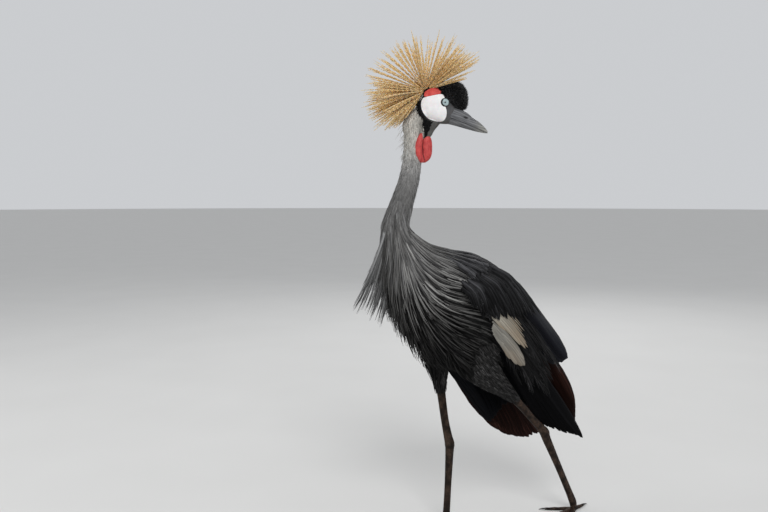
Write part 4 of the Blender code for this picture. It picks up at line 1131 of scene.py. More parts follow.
def feather_neck():
    rng = np.random.default_rng(SEED)
    roots = scatter(rng, neck_density, 16000, 0.0015)
    s, _ = station_of(roots)
    high = smooth((roots[:, 2] - 0.850) / 0.03)
    lengths = mix(0.046, 0.020, smooth((s - 8.2) / 3.0)) * mix(1.0, 0.7, high)
    lengths = lengths * rng.uniform(0.75, 1.25, len(roots))
    steps = 4
    centres, normals = lie(roots, neck_way, lengths, steps)
    f, u, _ = head_frame(centres.reshape(-1, 3))
    clear = (inside_by(rounded(CHEEK), f, u) < -0.0012).reshape(len(roots), -1).all(1)
    centres, normals, s, high = centres[clear], normals[clear], s[clear], high[clear]
    count = len(centres)
    t = np.linspace(0, 1, steps + 1)
    coat = mix(mix(0.0034, 0.0022, smooth((s - 8.6) / 1.6)), 0.0016, high)
    stray = rng.random(count) ** 9 * 0.003
    lift = column(coat) * smooth(t / 0.6) * column(rng.uniform(0.45, 1.0, count))
    lift = lift + column(stray) * t**2 - 0.0008 * (t == 0)
    centres = centres + normals * lift[..., None]
    widths = mix(0.0013, 0.0008, smooth((s - 8.5) / 3)) * rng.uniform(0.8, 1.2, count)
    widths = column(widths) * taper(t, 1.6, 0.10)
    points = vane_points(centres, normals, widths, 0.0003, 0.25, rng.uniform(-7, 7, count), lanes=1)
    shade = rng.random(count)
    pale = np.interp(s, (8.3, 9.5, 10.5, 11.5, 12.6), (0.182, 0.182, 0.310, 0.590, 0.740))
    pale = pale * rng.uniform(0.70, 1.20, count)
    warm = column(smooth((s - 10.5) / 2.0)) * np.array((0.03, 0.006, -0.060))
    tones = column(pale) * (np.array((1.0, 0.985, 0.965)) + warm)
    throat = smooth(((centres[:, 0] - EYE_POINT) @ LEVEL + 0.060) / 0.012) * smooth((s - 11.0) / 0.6)
    tones = tones * mix(1.0, 0.66, column(throat))
    finish = feather_finish("neck_feathers", 9.0, 2.0, 0.9, 0.70, 1.12, 0.95, 0.72, 0.03)
    make_coat("neck_feathers", points, tones, finish, shade)


feather_neck()

# ---- The hackles -----------------------------------------------------------------------------
# Long lance-shaped feathers drape from the base of the neck over the breast, turn back along the
# flanks and darken from ash-grey to slate-black, partly their own tone and partly painted shade towards
# the belly. Each is split into a few loose strands at its rim.

def round_angle(angle):
    """Degrees from the back, the same on both sides."""
    return 180 - np.abs(np.asarray(angle) % 360 - 180)


# How steeply the feathers fall, in degrees under the level line tailwards: a row for each station and
# a column for each angle from the back.
FALL_STATIONS = (3.0, 4.0, 5.0, 5.5, 6.0, 6.5, 7.0, 8.0)
FALL_ANGLES = (50, 90, 120, 150, 178)
FALL = (
    (44, 44, 44, 44, 44),
    (40, 28, 30, 42, 50),
    (40, 12, 18, 36, 54),
    (38, 10, 22, 42, 60),
    (36, 16, 34, 56, 70),
    (42, 34, 52, 68, 78),
    (50, 52, 66, 78, 85),
    (80, 80, 82, 85, 88),
)


def down_leg(leg_s, left):
    """The way down the nearer leg."""
    return np.where(column(left), leg_path(LEFT_LEG, leg_s)[1], leg_path(RIGHT_LEG, leg_s)[1])


def on_shank(points):
    leg_s, _, reach, _ = leg_station_of(points)
    return (leg_s > 1.1) & (reach < 0.06) & (points[:, 2] < 0.40)


def body_way(points):
    """Down the breast, then swept back along the flanks, and down the legs."""
    s, angle = station_of(points)
    columns = [np.interp(s, FALL_STATIONS, steep) for steep in np.transpose(FALL)]
    place = np.interp(round_angle(angle), FALL_ANGLES, range(5))
    first = np.minimum(place.astype(int), 3)
    steep = np.stack(columns)
    fall = np.radians(mix(steep[first, range(len(s))], steep[first + 1, range(len(s))], place - first))
    way = np.stack([-np.cos(fall), 0 * fall, -np.sin(fall)], -1)
    leg_s, _, reach, left = leg_station_of(points)
    on_leg = smooth((leg_s - 0.9) / 0.6) * (reach < 0.055)
    return mix(way, down_leg(leg_s, left), column(on_leg))


# The thigh's edge on the flank, under which its own short feathers begin: angle from the back, station.
THIGH_EDGE = (
    (104, 3.1), (108, 3.62), (116, 3.98), (124, 4.22), (134, 4.32), (146, 4.10), (154, 3.8), (160, 3.0),
)


def on_thigh(points):
    s, angle = station_of(points)
    round_it = round_angle(angle)
    return (round_it > 104) & (round_it < 160) & (s > 2.0) & (s < np.interp(round_it, *zip(*THIGH_EDGE)))


def lie_off_thigh(roots, lengths, steps):
    """Feathers down the body's flow that stop at the thigh's edge."""
    centres, _ = lie(roots, body_way, lengths, steps)
    inside = on_thigh(centres.reshape(-1, 3)).reshape(centres.shape[:2])
    share = np.where(inside.any(axis=1), np.argmax(inside, axis=1) / steps, 1.0)
    return lie(roots, body_way, lengths * np.maximum(share, 0.30), steps)


def body_density(points):
    s, angle = station_of(points)
    bare = on_shank(points) | on_thigh(points) | (s > 9.3) | (s < 0.5) | (points[:, 2] < 0.25)
    under_wing = (round_angle(angle) < 70) & (s < 6.6)
    return np.where(bare, 0.0, np.where(under_wing, 0.35, 1.0))


def fringe(points):
    """How far the loose tips of breast and belly stand off the coat underneath."""
    s, angle = station_of(points.reshape(-1, 3))
    depth = smooth((round_angle(angle) - 104) / 62) * smooth((s - 3.5) / 1.3) * smooth((7.9 - s) / 1.2)
    return 0.026 * depth.reshape(points.shape[:-1])


def coat_tone(s, shade):
    """Ash-grey at the neck's base, slate on the shoulders, near black under the belly: the plumage's grey,
    darkened lower down with painted shade, which also fills the gaps between the lances.
    """
    grey = np.interp(s, (0, 2.0, 4.0, 5.4, 6.2, 6.8, 7.3, 7.9, 8.6, 9.2),
                     (0.008, 0.008, 0.008, 0.009, 0.011, 0.026, 0.090, 0.160, 0.190, 0.200))
    return column(grey * (0.62 + 0.62 * shade)) * np.array((1.0, 0.99, 0.985))


def strands(centres, normals, half_widths, rng, each, spread):
    """Loose barbs that leave a vane's rim towards its tip: fine closed vanes of their own."""
    count, steps = centres.shape[0], centres.shape[1] - 1
    pick = np.repeat(np.arange(count), each)
    start = rng.uniform(0.25, 0.80, len(pick))
    end = np.minimum(start + rng.uniform(0.16, 0.34, len(pick)), 1.0 + 0.06 * rng.random(len(pick)))
    side = rng.choice((-1.0, 1.0), len(pick))
    ahead = unit(np.gradient(centres, axis=1))
    sides = unit(np.cross(ahead, normals))
    path, outs = [], []
    for t in np.linspace(0, 1, 4):
        at = np.clip(mix(start, end, t), 0, 1) * steps
        i = np.minimum(at.astype(int), steps - 1)
        share = column(at - i)
        rows = pick, i
        middle = mix(centres[rows], centres[pick, i + 1], share)
        over = mix(sides[rows], sides[pick, i + 1], share)
        wide = mix(half_widths[rows], half_widths[pick, i + 1], at - i)
        beyond = np.maximum(mix(start, end, t) - 1.0, 0)
        reach = side * (wide * mix(0.55, 0.85, t) + spread * t * t * rng.uniform(0.6, 1.4, len(pick)))
        middle = middle + over * column(reach) + ahead[pick, steps] * column(beyond * 0.08)
        path.append(middle + normals[rows] * 0.0004)
        outs.append(normals[rows])
    path, outs = np.stack(path, 1), np.stack(outs, 1)
    thin = np.broadcast_to(np.array((0.00042, 0.00040, 0.00030, 0.00008)), path.shape[:2])
    return vane_points(path, outs, thin, thin * 0.7, 0.0, lanes=1), pick


def fray(name, centres, normals, half_widths, rng, each, spread, tones, gain, material, shade):
    """Lays a coat's strands, in their vanes' tones times gain. A pair of gains and odds is drawn from."""
    loose, owner = strands(centres, normals, half_widths, rng, each, spread)
    tones = tones[owner] if tones.ndim == 2 else tones[owner][:, :4]
    if isinstance(gain, tuple):
        gains, odds = gain
        gain = column(rng.choice(gains, len(owner), p=odds))
    make_coat(name, loose, tones * gain, material, shade[owner])


def feather_body():
    rng = np.random.default_rng(SEED + 1)
    roots = scatter(rng, body_density, 9000, 0.0066)
    s, _ = station_of(roots)
    count = len(roots)
    upper = smooth((s - 6.6) / 1.2)
    lengths = mix(0.058, 0.080, upper) * mix(1.0, 0.6, smooth((2.2 - s) / 1.2))
    lengths = lengths * rng.uniform(0.72, 1.25, count)
    steps = 6
    centres, normals = lie_off_thigh(roots, lengths, steps)
    t = np.linspace(0, 1, steps + 1)
    coat = 0.0032 * rng.uniform(0.55, 1.1, count)
    loose = column(rng.uniform(0.15, 1.0, count)) * t**1.4 * fringe(centres)
    centres = centres + normals * (column(coat) * smooth(t / 0.7) + loose - 0.0012 * (t == 0))[..., None]
    widths = column(mix(0.0054, 0.0038, upper) * rng.uniform(0.7, 1.2, count)) * taper(t, 1.9, 0.05)
    shade = rng.random(count)
    points = vane_points(centres, normals, widths, 0.0005, 0.25, rng.uniform(-12, 12, count))
    make_coat("body_feathers", points, coat_tone(s, shade), HACKLE, shade)


def lance_density(first, last, near, far):
    """Where one set of lances roots: between two stations and two angles from the back."""

    def density(points):
        s, angle = station_of(points)
        round_it = round_angle(angle)
        within = (s > first) & (s < last) & (round_it > near) & (round_it < far)
        return (within & ~on_shank(points) & ~on_thigh(points)).astype(float)

    return density


def feather_lances():
    """Long pale lances over the dark ground, darkened with painted shade: close together high up, thin and
    apart below.
    """
    rng = np.random.default_rng(SEED + 11)
    # Name, first and last station, least and greatest angle, places tried, distance apart, length, half
    # width, tone, lift, strands of each.
    sets = (
        ("breast_lances", 6.9, 9.0, 0, 180, 2600, 0.0056, 0.112, 0.0025, 0.320, 0.0044, 2),
        ("shoulder_lances", 5.9, 6.9, 66, 180, 1100, 0.0070, 0.098, 0.0021, 0.145, 0.0050, 2),
        ("flank_lances", 4.7, 6.2, 82, 176, 1000, 0.0084, 0.094, 0.0018, 0.091, 0.0046, 2),
        ("belly_lances", 2.8, 5.0, 100, 180, 700, 0.0100, 0.076, 0.0012, 0.060, 0.0040, 3),
    )
    for name, first, last, near, far, tries, apart, length, half, tone, lift, each in sets:
        roots = scatter(rng, lance_density(first, last, near, far), tries, apart)
        s, angle = station_of(roots)
        round_it = round_angle(angle)
        count = len(roots)
        steps = 10
        centres, normals = lie_off_thigh(roots, length * rng.uniform(0.65, 1.25, count), steps)
        t = np.linspace(0, 1, steps + 1)
        loose = column(rng.uniform(0.55, 1.1, count)) * t**1.4 * fringe(centres)
        clear = np.maximum(smooth((round_it - 30) / 50), smooth((s - 6.7) / 0.5))
        high = lift * rng.uniform(0.75, 1.2, count) * mix(0.35, 1.0, clear)
        centres = centres + normals * (column(high) * smooth(t / 0.8) + loose - 0.0012 * (t == 0))[..., None]
        sway = column(rng.normal(0, 0.0018, count)) * np.sin(t * 2.6 + column(rng.uniform(0, 3, count)))
        centres = centres + unit(np.cross(np.gradient(centres, axis=1), normals)) * sway[..., None]
        widths = column(half * rng.uniform(0.5, 1.35, count)) * taper(t, 1.5, 0.04)
        shade = rng.random(count)
        flank = np.exp(-(((round_it - 98) / 22) ** 2))
        # Painted shade: the lances darken towards the belly.
        below = mix(1.0, 0.52, smooth((round_it - 122) / 40))
        pale = column(tone * mix(0.42, 1.12, shade) * mix(0.80, 1.12, flank) * below)
        tones = pale[:, None, :] * mix(1.0, 0.80, smooth(t))[None, :, None] * np.array((1.0, 0.985, 0.955))
        points = vane_points(centres, normals, widths, 0.0005, 0.32, rng.uniform(-20, 20, count))
        make_coat(name, points, tones, LANCE, shade)
        hair = name.replace("lances", "strands")
        fray(hair, centres, normals, widths, rng, each, 0.0014, tones, 1.0, LANCE, shade)


HACKLE = feather_finish("body_hackles", 16.0, 3.0, 0.75, 0.42, 1.35, 0.66, 0.66, 0.0, 0.05)
LANCE = feather_finish("breast_lance", 14.0, 3.0, 0.95, 0.66, 1.22, 0.40, 0.68, 0.0, 0.05)
feather_body()
feather_lances()

# ---- The hanging hackles ---------------------------------------------------------------------
# The longest hackles hang free in front of the breast from the base of the neck, a loose curtain
# that ends in thin tips on the far side.

HANGING = (
    (8.25, 166, (0.366, -0.004, 0.505)),
    (8.15, 180, (0.348, -0.012, 0.492)),
    (7.95, 192, (0.327, -0.024, 0.484)),
    (7.75, 178, (0.324, -0.008, 0.481)),
    (7.50, 188, (0.304, -0.022, 0.462)),
    (7.20, 180, (0.284, -0.024, 0.466)),
    (6.95, 170, (0.272, -0.020, 0.459)),
)
CURTAIN = 70


def hang_hackles():
    rng = np.random.default_rng(SEED + 2)
    rows = np.array([(root, angle, *tip) for root, angle, tip in HANGING])
    place = rng.uniform(0, 1, CURTAIN) ** 1.7 * (len(rows) - 1)
    row = on_rows(rows, place)
    root = row[:, 0] + rng.normal(0, 0.12, CURTAIN)
    angle = row[:, 1] + rng.normal(0, 6, CURTAIN)
    tip = row[:, 2:] + rng.normal(0, 1, (CURTAIN, 3)) * np.array((0.003, 0.007, 0.007))
    start = trunk_point(root, angle, -0.002)
    _, _, out = trunk_slopes(root, angle)
    short = column(1 - 0.42 * rng.random(CURTAIN) ** 1.6)
    steps = 9
    path = []
    for t in np.linspace(0, 1, steps + 1):
        reach = t * short
        bow = out * (-0.010 * 4 * reach * (1 - reach))
        path.append(mix(start, tip, reach) + bow)
    centres = np.stack(path, 1)
    facing = unit(np.array((0.80, 0.10, 0.25)) + 0.5 * unit(VIEW_FROM - start.mean(0)))
    normals = np.broadcast_to(facing, centres.shape) + 0.25 * rng.normal(0, 1, (CURTAIN, 1, 3))
    t = np.linspace(0, 1, steps + 1)
    widths = column(rng.uniform(0.0020, 0.0036, CURTAIN)) * taper(t, 1.7, 0.05, 0.6)
    shade = rng.random(CURTAIN)
    tones = column(np.interp(root, (7.0, 7.5, 8.2), (0.16, 0.22, 0.28)) * (0.5 + 0.8 * shade)) * np.ones(3)
    fade = mix(1.0, 0.55, smooth(t))
    tones = tones[:, None, :] * fade[None, :, None]
    points = vane_points(centres, unit(normals), widths, 0.0005, 0.3)
    make_coat("hanging_hackles", points, tones, LANCE, shade)
    fray("hanging_strands", centres, unit(normals), widths, rng, 7, 0.0022, tones, 1.05, LANCE,
         shade)


hang_hackles()

# ---- The thighs' feathers --------------------------------------------------------------------
# Short slate feathers with pale hair streaks cover the thighs from their edge on the flank. They get
# finer downwards and end in a ragged hem over the shin.


def thigh_density(points):
    leg_s, _, reach, _ = leg_station_of(points)
    down = (leg_s > 0.9) & (leg_s < BARE_FROM - 0.15) & (reach < 0.052) & (points[:, 2] < 0.41)
    return (down | on_thigh(points)).astype(float)


def thigh_way(points):
    leg_s, _, _, left = leg_station_of(points)
    return down_leg(leg_s, left)


def feather_thighs():
    rng = np.random.default_rng(SEED + 3)
    roots = scatter(rng, thigh_density, 8000, 0.0026)
    leg_s, _, _, _ = leg_station_of(roots)
    count = len(roots)
    small = smooth((leg_s - 1.5) / 2.4)
    steps = 4
    lengths = mix(0.027, 0.012, small) * rng.uniform(0.75, 1.25, count)
    centres, normals = lie(roots, thigh_way, lengths, steps)
    t = np.linspace(0, 1, steps + 1)
    coat = mix(0.0046, 0.0018, small) * rng.uniform(0.6, 1.2, count)
    centres = centres + normals * (column(coat) * smooth(t / 0.7) - 0.001 * (t == 0))[..., None]
    widths = column(mix(0.0024, 0.0014, small) * rng.uniform(0.8, 1.2, count)) * taper(t, 2.0, 0.10)
    shade = rng.random(count)
    tones = column(mix(0.042, 0.031, small) * (0.50 + 1.1 * shade**2)) * np.array((1.0, 0.98, 0.97))
    points = vane_points(centres, normals, widths, 0.0004, 0.3, rng.uniform(-16, 16, count), lanes=1)
    finish = feather_finish("thigh_feathers", 8.0, 2.0, 0.55, 0.30, 1.9, 0.60, 0.7, 0.0, 0.04)
    make_coat("thigh_feathers", points, tones, finish, shade)


feather_thighs()

# ---- The shoulders ---------------------------------------------------------------------------
# Small dark coverts close the folded arm against the body, and long leafy scapulars lie over them in
# loose tiers like tiles, from the shoulder down the back.

# Lower edge of the scapulars: angle round the trunk, the station where their tips end.
SCAPULAR_HEM = ((0, 2.7), (30, 2.9), (52, 3.2), (65, 3.5), (78, 3.9), (90, 4.4), (98, 4.8), (110, 5.4))
# Their front edge, behind which the breast's lances run in: angle round the trunk, station.
SHELL_EDGE = (
    (0, 6.75), (40, 6.60), (50, 6.40), (58, 6.16), (62, 5.96), (72, 5.72), (80, 5.48), (84, 5.28),
    (88, 5.00), (92, 4.72), (104, 4.45),
)
# How many times paler than its vane a loose strand is, and the odds of each.
SCAPULAR_GAINS = ((1.5, 2.4, 4.6), (0.50, 0.32, 0.18))


def over_trunk(start, end, bend, low, high, steps):
    """Paths over the coat from (station, angle) to (station, angle), with their way out."""
    shares = np.linspace(0, 1, steps + 1)
    path, outs = [], []
    for t in shares:
        s = mix(start[:, 0], end[:, 0], t)
        angle = mix(start[:, 1], end[:, 1], mix(t, t * t, bend))
        height = mix(low, high, smooth(t))
        path.append(trunk_point(s, angle, height))
        outs.append(trunk_slopes(s, angle, height)[2])
    return np.stack(path, 1), np.stack(outs, 1)


def leafy(shares, blunt):
    """Half widths of a broad vane: it fills quickly and closes in a round or a drawn-out end."""
    t = np.asarray(shares)
    close = mix(0.62, 0.22, blunt)
    end = np.clip((t - 1 + close) / close, 0, 1)
    return mix(0.42, 1.0, smooth(t / 0.28)) * np.sqrt(np.maximum(1 - end * end, 0.004))


def near_end(steps):
    """Shares along a vane, closer together towards its end."""
    return 1 - (1 - np.linspace(0, 1, steps + 1)) ** 1.5


def dress_shoulder(side, rng):
    label = "left" if side > 0 else "right"
    dark = np.array((0.021, 0.021, 0.0222))
    count = 330
    start = np.stack([rng.uniform(2.3, 6.7, count), rng.uniform(2, 102, count)], 1)
    behind = start[:, 0] < np.interp(start[:, 1], *zip(*SHELL_EDGE)) - 0.10
    start = start[behind & (start[:, 0] > np.interp(start[:, 1], *zip(*SCAPULAR_HEM)) + 0.15)]
    count = len(start)
    end = start + np.stack([-rng.uniform(0.6, 0.85, count), rng.uniform(-2, 6, count)], 1)
    end[:, 1] = np.minimum(end[:, 1], 104)
    centres, outs = over_trunk(start * (1, side), end * (1, side), 0.3, -0.0022, 0.0006, 6)
    outs = outs * side
    t = np.linspace(0, 1, 7)
    widths = column(rng.uniform(0.0075, 0.0100, count)) * leafy(t, 0.6)
    shade = rng.random(count)
    points = vane_points(centres, outs, widths, 0.0006, 0.22)
    tones = column(0.3 + 0.5 * shade) * dark
    make_coat(f"arm_coverts_{label}", points, tones, SCAPULAR, shade)
    tiers = 10
    for tier in range(tiers):
        share = tier / (tiers - 1)
        root = mix(6.62, 3.9, share)
        many = round(mix(11, 9, share))
        station = root + rng.normal(0, 0.09, many)
        angle = mix(4, 84, (np.arange(many) + rng.uniform(0.2, 0.8, many)) / many)
        start = np.stack([station, angle], 1)
        ahead = start[:, 0] - np.interp(start[:, 1], *zip(*SHELL_EDGE)) + rng.uniform(0, 0.10, many)
        start[:, 0] -= np.maximum(ahead, 0)
        swell = 24 * np.exp(-((start[:, 1] - 58) / 24) ** 2)
        drift = rng.uniform(2, 9, many) + swell * mix(1.0, 0.35, share)
        reach = rng.uniform(1.15, 1.65, many)
        end = start + np.stack([-reach, drift], 1)
        end[:, 1] = np.minimum(end[:, 1], 97 + rng.uniform(-4, 2, many))
        hem = np.interp(end[:, 1], *zip(*SCAPULAR_HEM)) + rng.normal(0, 0.07, many)
        end[:, 0] = np.maximum(end[:, 0], hem)
        keep = (start[:, 0] - end[:, 0] > 0.5) & (ahead < 0.34)
        start, end = start[keep], end[keep]
        many = len(start)
        rng.uniform(0.85, 1.1, many)  # passed over, so that the draws after it stay what they are
        steps = 10
        centres, outs = over_trunk(start * (1, side), end * (1, side), 0.7, -0.0016, 0.0036, steps)
        outs = outs * side
        t = np.linspace(0, 1, steps + 1)
        wave = column(rng.normal(0, 0.0022, many)) * np.sin(t * 5.0 + column(rng.uniform(0, 6, many)))
        centres = centres + unit(np.cross(np.gradient(centres, axis=1), outs)) * wave[..., None]
        widths = column(rng.uniform(0.0062, 0.0088, many)) * leafy(t, 0.15)
        shade = rng.random(many)
        # Painted light and shade: the upper tiers and the band near 50 degrees from the back are painted
        # paler, the lower tiers darker.
        ridge = np.exp(-(((start[:, 1] - 50) / 26) ** 2))
        tones = column((0.35 + 1.1 * shade**1.5) * mix(0.8, 1.5, ridge)) * dark * mix(1.45, 0.28, share)
        points = vane_points(centres, outs, widths, 0.0006, 0.20, rng.uniform(-7, 7, many), lanes=4)
        make_coat(f"scapulars_{label}_{tier + 1}", points, tones, SCAPULAR, shade)
        fray(f"scapular_strands_{label}_{tier + 1}", centres, outs, widths, rng, 9, 0.0022, tones,
             SCAPULAR_GAINS, SCAPULAR, shade)


SCAPULAR = feather_finish("scapular_vane", 26.0, 7.0, 0.20, 0.38, 3.20, 0.70, 0.58, 0.0, 0.06)
shoulder_rng = np.random.default_rng(SEED + 4)
dress_shoulder(1, shoulder_rng)
dress_shoulder(-1, shoulder_rng)

# ---- The wings -------------------------------------------------------------------------------
# Each folded wing is a gently hollow sheet along the flank: white coverts under the scapulars, grey
# filmy plumes, slate tertials on top, chestnut secondaries and black primaries under them.

WRIST = np.array((0.185, 0.0, 0.565))
BACK = np.array((-1.0, 0.0, -1.0)) / math.sqrt(2)
OVER = np.array((-1.0, 0.0, 1.0)) / math.sqrt(2)
# Feather groups: name, count, root and tip (back, over) of the first and of the last feather, half
# width, bluntness, depth of the first and step in depth, tone, lean to the inner side, bow, how far
# the hollow reaches, how far the row of tips swells.
LEFT_FLIGHT = (
    ("tertials", 6, (0.140, 0.080), (0.374, 0.084), (0.150, 0.030), (0.352, 0.056),
     0.0245, 0.75, 0.0006, 0.0017, (0.0060, 0.0064, 0.0098), 0.1, 0.020, 0.75, 0.0),
    ("secondaries", 14, (0.175, 0.046), (0.474, 0.031), (0.175, 0.004), (0.516, 0.005),
     0.0150, 0.75, 0.0165, 0.0007, (0.014, 0.0046, 0.0030), 0.2, 0.020, 1.0, 0.0),
    ("primaries", 14, (0.190, 0.000), (0.546, -0.010), (0.190, -0.030), (0.418, -0.064),
     0.0118, 0.45, 0.0062, 0.0007, (0.0014, 0.0014, 0.0016), 0.3, 0.006, 1.0, 0.003),
)
RIGHT_FLIGHT = (
    ("tertials", 6, (0.140, 0.080), (0.374, 0.084), (0.150, 0.022), (0.372, 0.040),
     0.0245, 0.75, 0.0006, 0.0017, (0.0060, 0.0064, 0.0098), 0.1, 0.020, 0.75, 0.0),
    ("secondaries", 16, (0.175, 0.040), (0.525, -0.044), (0.165, -0.062), (0.376, -0.108),
     0.0180, 0.75, 0.0090, 0.0007, (0.025, 0.0108, 0.0085), 0.2, -0.004, 0.6, 0.027),
    ("primaries", 9, (0.190, 0.030), (0.540, -0.014), (0.190, -0.010), (0.505, -0.044),
     0.0120, 0.20, 0.0040, 0.0007, (0.0014, 0.0014, 0.0016), 0.3, 0.006, 1.0, 0.0),
)


def sheet_point(side, back, over, height, flat=1.0):
    """A point of a wing's sheet, height outwards from it. The sheet's hollow is scaled by flat."""
    back, over, height = np.broadcast_arrays(*(np.asarray(v, float) for v in (back, over, height)))
    hollow = mix(5.6, 2.2, smooth((back - 0.28) / 0.17)) * flat
    y = 0.093 - 0.020 * back - 0.085 * back * back - hollow * np.maximum(0.0, over) ** 2
    spot = WRIST + column(back) * BACK + column(over) * OVER
    return spot + column(side * (y + height)) * np.array((0, 1.0, 0))


def sheet_lines(roots, tips, t, offset):
    """Lines from roots to tips in a wing's sheet, moved across by offset: how far back and how far over."""
    run = tips - roots
    across = unit(np.stack([-run[:, 1], run[:, 0]], 1))
    return [mix(roots[:, k:k + 1], tips[:, k:k + 1], t) + across[:, k:k + 1] * offset for k in (0, 1)]


def sheet_vanes(side, roots, tips, half_widths, blunt, heights, rng, sag=0.006, lean=0.0, flat=1.0,
                tuck=0.0):
    """Broad vanes in a wing's sheet: each follows its hollow, with a ridge on the shaft."""
    steps, lanes, rag = 14, 4, 0.03
    t = near_end(steps)
    bow = np.broadcast_to(sag, len(roots))[:, None] * 4 * t * (1 - t)
    outline = leafy(t, blunt)
    sunk = tuck * (1 - smooth(t / 0.4)) + 0.0018 * t
    count = len(roots)
    rough = 1 + rag * rng.normal(0, 1, (count, 2, steps + 1)) * smooth((t - 0.3) / 0.4)
    xs = np.linspace(-1, 1, lanes + 1)
    ring = [(x, 0.5) for x in xs] + [(x, -0.5) for x in xs[::-1]]
    points = []
    for x, face in ring:
        spread = -side * x
        wide = half_widths[:, None] * outline * spread * (1 + lean * np.sign(-spread))
        wide = wide * rough[:, 0 if x < 0 else 1]
        back, over = sheet_lines(roots, tips, t, wide + bow)
        thin = 0.0007 * face * (1.0 if abs(x) < 1 else 0.35)
        ridge = 0.0004 * (x == 0) * np.sign(face)
        arch = half_widths[:, None] * 0.10 * (1 - x * x) * outline
        points.append(sheet_point(side, back, over, heights[:, None] + thin + ridge + arch - sunk, flat))
    return np.stack(points, 2)


def atlas(count):
    """Cells of a square map, one for each feather: their corners and sizes."""
    wide = max(1, math.ceil(math.sqrt(count / 2)))
    tall = math.ceil(count / wide)
    k = np.arange(count)
    size = np.array((1 / wide, 1 / tall))
    corner = np.stack([k % wide, k // wide], 1) * size + 0.02 * size
    return np.stack([corner, np.broadcast_to(size * 0.96, corner.shape)], 1)


def between(first, last, count):
    return mix(np.array(first)[None], np.array(last)[None], np.linspace(0, 1, count)[:, None])


def wing_hand(label, side, depth):
    """The hand and forearm of the wing under the coverts, which hold the quills."""
    low = -0.036 if side > 0 else -0.070
    outline = rounded([(0.085, -0.018), (0.145, mix(-0.018, low, 0.62)), (0.212, low), (0.236, -0.020),
                       (0.240, 0.018), (0.222, 0.048), (0.170, 0.058), (0.100, 0.038)], 3)
    edge = np.array(outline + outline[:1])
    heart = np.array((0.165, 0.004))

    def place(t, turn):
        size = np.interp(t, (0, 0.12, 0.3, 0.8, 0.94, 1), (0.55, 0.84, 0.97, 0.97, 0.84, 0.5))
        share = turn * (len(edge) - 1)
        spot = np.stack([np.interp(share, np.arange(len(edge)), edge[:, k]) for k in (0, 1)], -1)
        spot = mix(heart, spot, column(size))
        return sheet_point(side, spot[..., 0], spot[..., 1], mix(-depth, -0.0006, t))

    piece = new_piece(f"wing_hand_{label}", tube(f"wing_hand_{label}", 12, 48, place), SCAPULAR)
    points = mesh_points(piece.data)
    add_layer(piece.data, "tone", np.tile((0.008, 0.008, 0.009), (len(points), 1)))
    unroll(piece.data, (points[:, (1, 2)] * (side, 1) - (0.0, 0.35)) * 3.0, "vane")
    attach(piece, "root")
    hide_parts(f"wing_{label}")


def dress_wing(side, groups, rng):
    label = "left" if side > 0 else "right"
    wing_hand(label, side, 0.030)
    for group in groups:
        name, count, root0, tip0, root1, tip1, half, blunt, depth, step, tone, lean, sag, flat, swell = group
        roots, tips = between(root0, root1, count), between(tip0, tip1, count)
        line = np.array(tip1) - tip0
        place = np.linspace(0, 1, count)
        outer = np.array((-line[1], line[0])) / np.linalg.norm(line) * swell
        tips = tips + rng.normal(0, 0.0010, tips.shape) + outer * (4 * place * (1 - place))[:, None]
        widths = half * rng.uniform(0.93, 1.07, count)
        heights = -(depth + step * np.arange(count))
        points = sheet_vanes(side, roots, tips, widths, blunt, heights, rng, sag, lean, flat)
        shade = rng.random(count)
        tones = column(rng.uniform(0.75, 1.25, count)) * np.array(tone)
        if name == "primaries":
            tones[0] *= 2.4
        make_coat(f"{name}_{label}", points, tones, FLIGHT[name], shade, atlas(count))
    # Each row: root and tip (back, over), half width, height. The first six make the broad lower piece,
    # the others the frayed one over it.
    rows = np.array((
        (0.146, -0.0245, 0.219, -0.0325, 0.0062, 0.0000), (0.138, -0.0210, 0.242, -0.0290, 0.0076, 0.0006),
        (0.134, -0.0185, 0.254, -0.0235, 0.0084, 0.0012), (0.132, -0.0165, 0.259, -0.0185, 0.0080, 0.0018),
        (0.130, -0.0140, 0.249, -0.0130, 0.0060, 0.0024), (0.124, -0.0112, 0.230, -0.0082, 0.0044, 0.0026),
        (0.098, -0.0058, 0.184, -0.0062, 0.0046, 0.0020), (0.098, -0.0012, 0.216, 0.0022, 0.0052, 0.0026),
        (0.100, 0.0030, 0.232, 0.0060, 0.0052, 0.0032), (0.102, 0.0085, 0.236, 0.0110, 0.0038, 0.0038),
        (0.103, 0.0118, 0.226, 0.0155, 0.0028, 0.0034), (0.104, 0.0150, 0.214, 0.0205, 0.0020, 0.0040),
        (0.106, 0.0180, 0.202, 0.0250, 0.0017, 0.0036), (0.108, 0.0208, 0.206, 0.0305, 0.0014, 0.0040),
        (0.110, 0.0238, 0.192, 0.0345, 0.0013, 0.0036)))
    lower = rows[:, 1] < -0.01
    blunt = np.where(lower, 0.95, 0.30)[:, None]
    points = sheet_vanes(side, rows[:, :2], rows[:, 2:4], rows[:, 4], blunt, rows[:, 5] + 0.0062, rng,
                         sag=0.002, tuck=0.0045)
    shade = rng.random(len(rows))
    count, stations = points.shape[:2]
    tan = column(smooth((near_end(stations - 1) - 0.25) / 0.5)) * rng.uniform(0.1, 0.8, count)[:, None, None]
    cream = np.where(column(lower), (0.330, 0.316, 0.280), (0.420, 0.388, 0.325))
    cream = cream * column(rng.uniform(0.82, 1.12, count))
    tones = cream[:, None, :] * mix(1.0, np.array((0.98, 0.80, 0.64)), tan)
    make_coat(f"white_coverts_{label}", points, tones, WHITE_COVERT, shade, atlas(count))


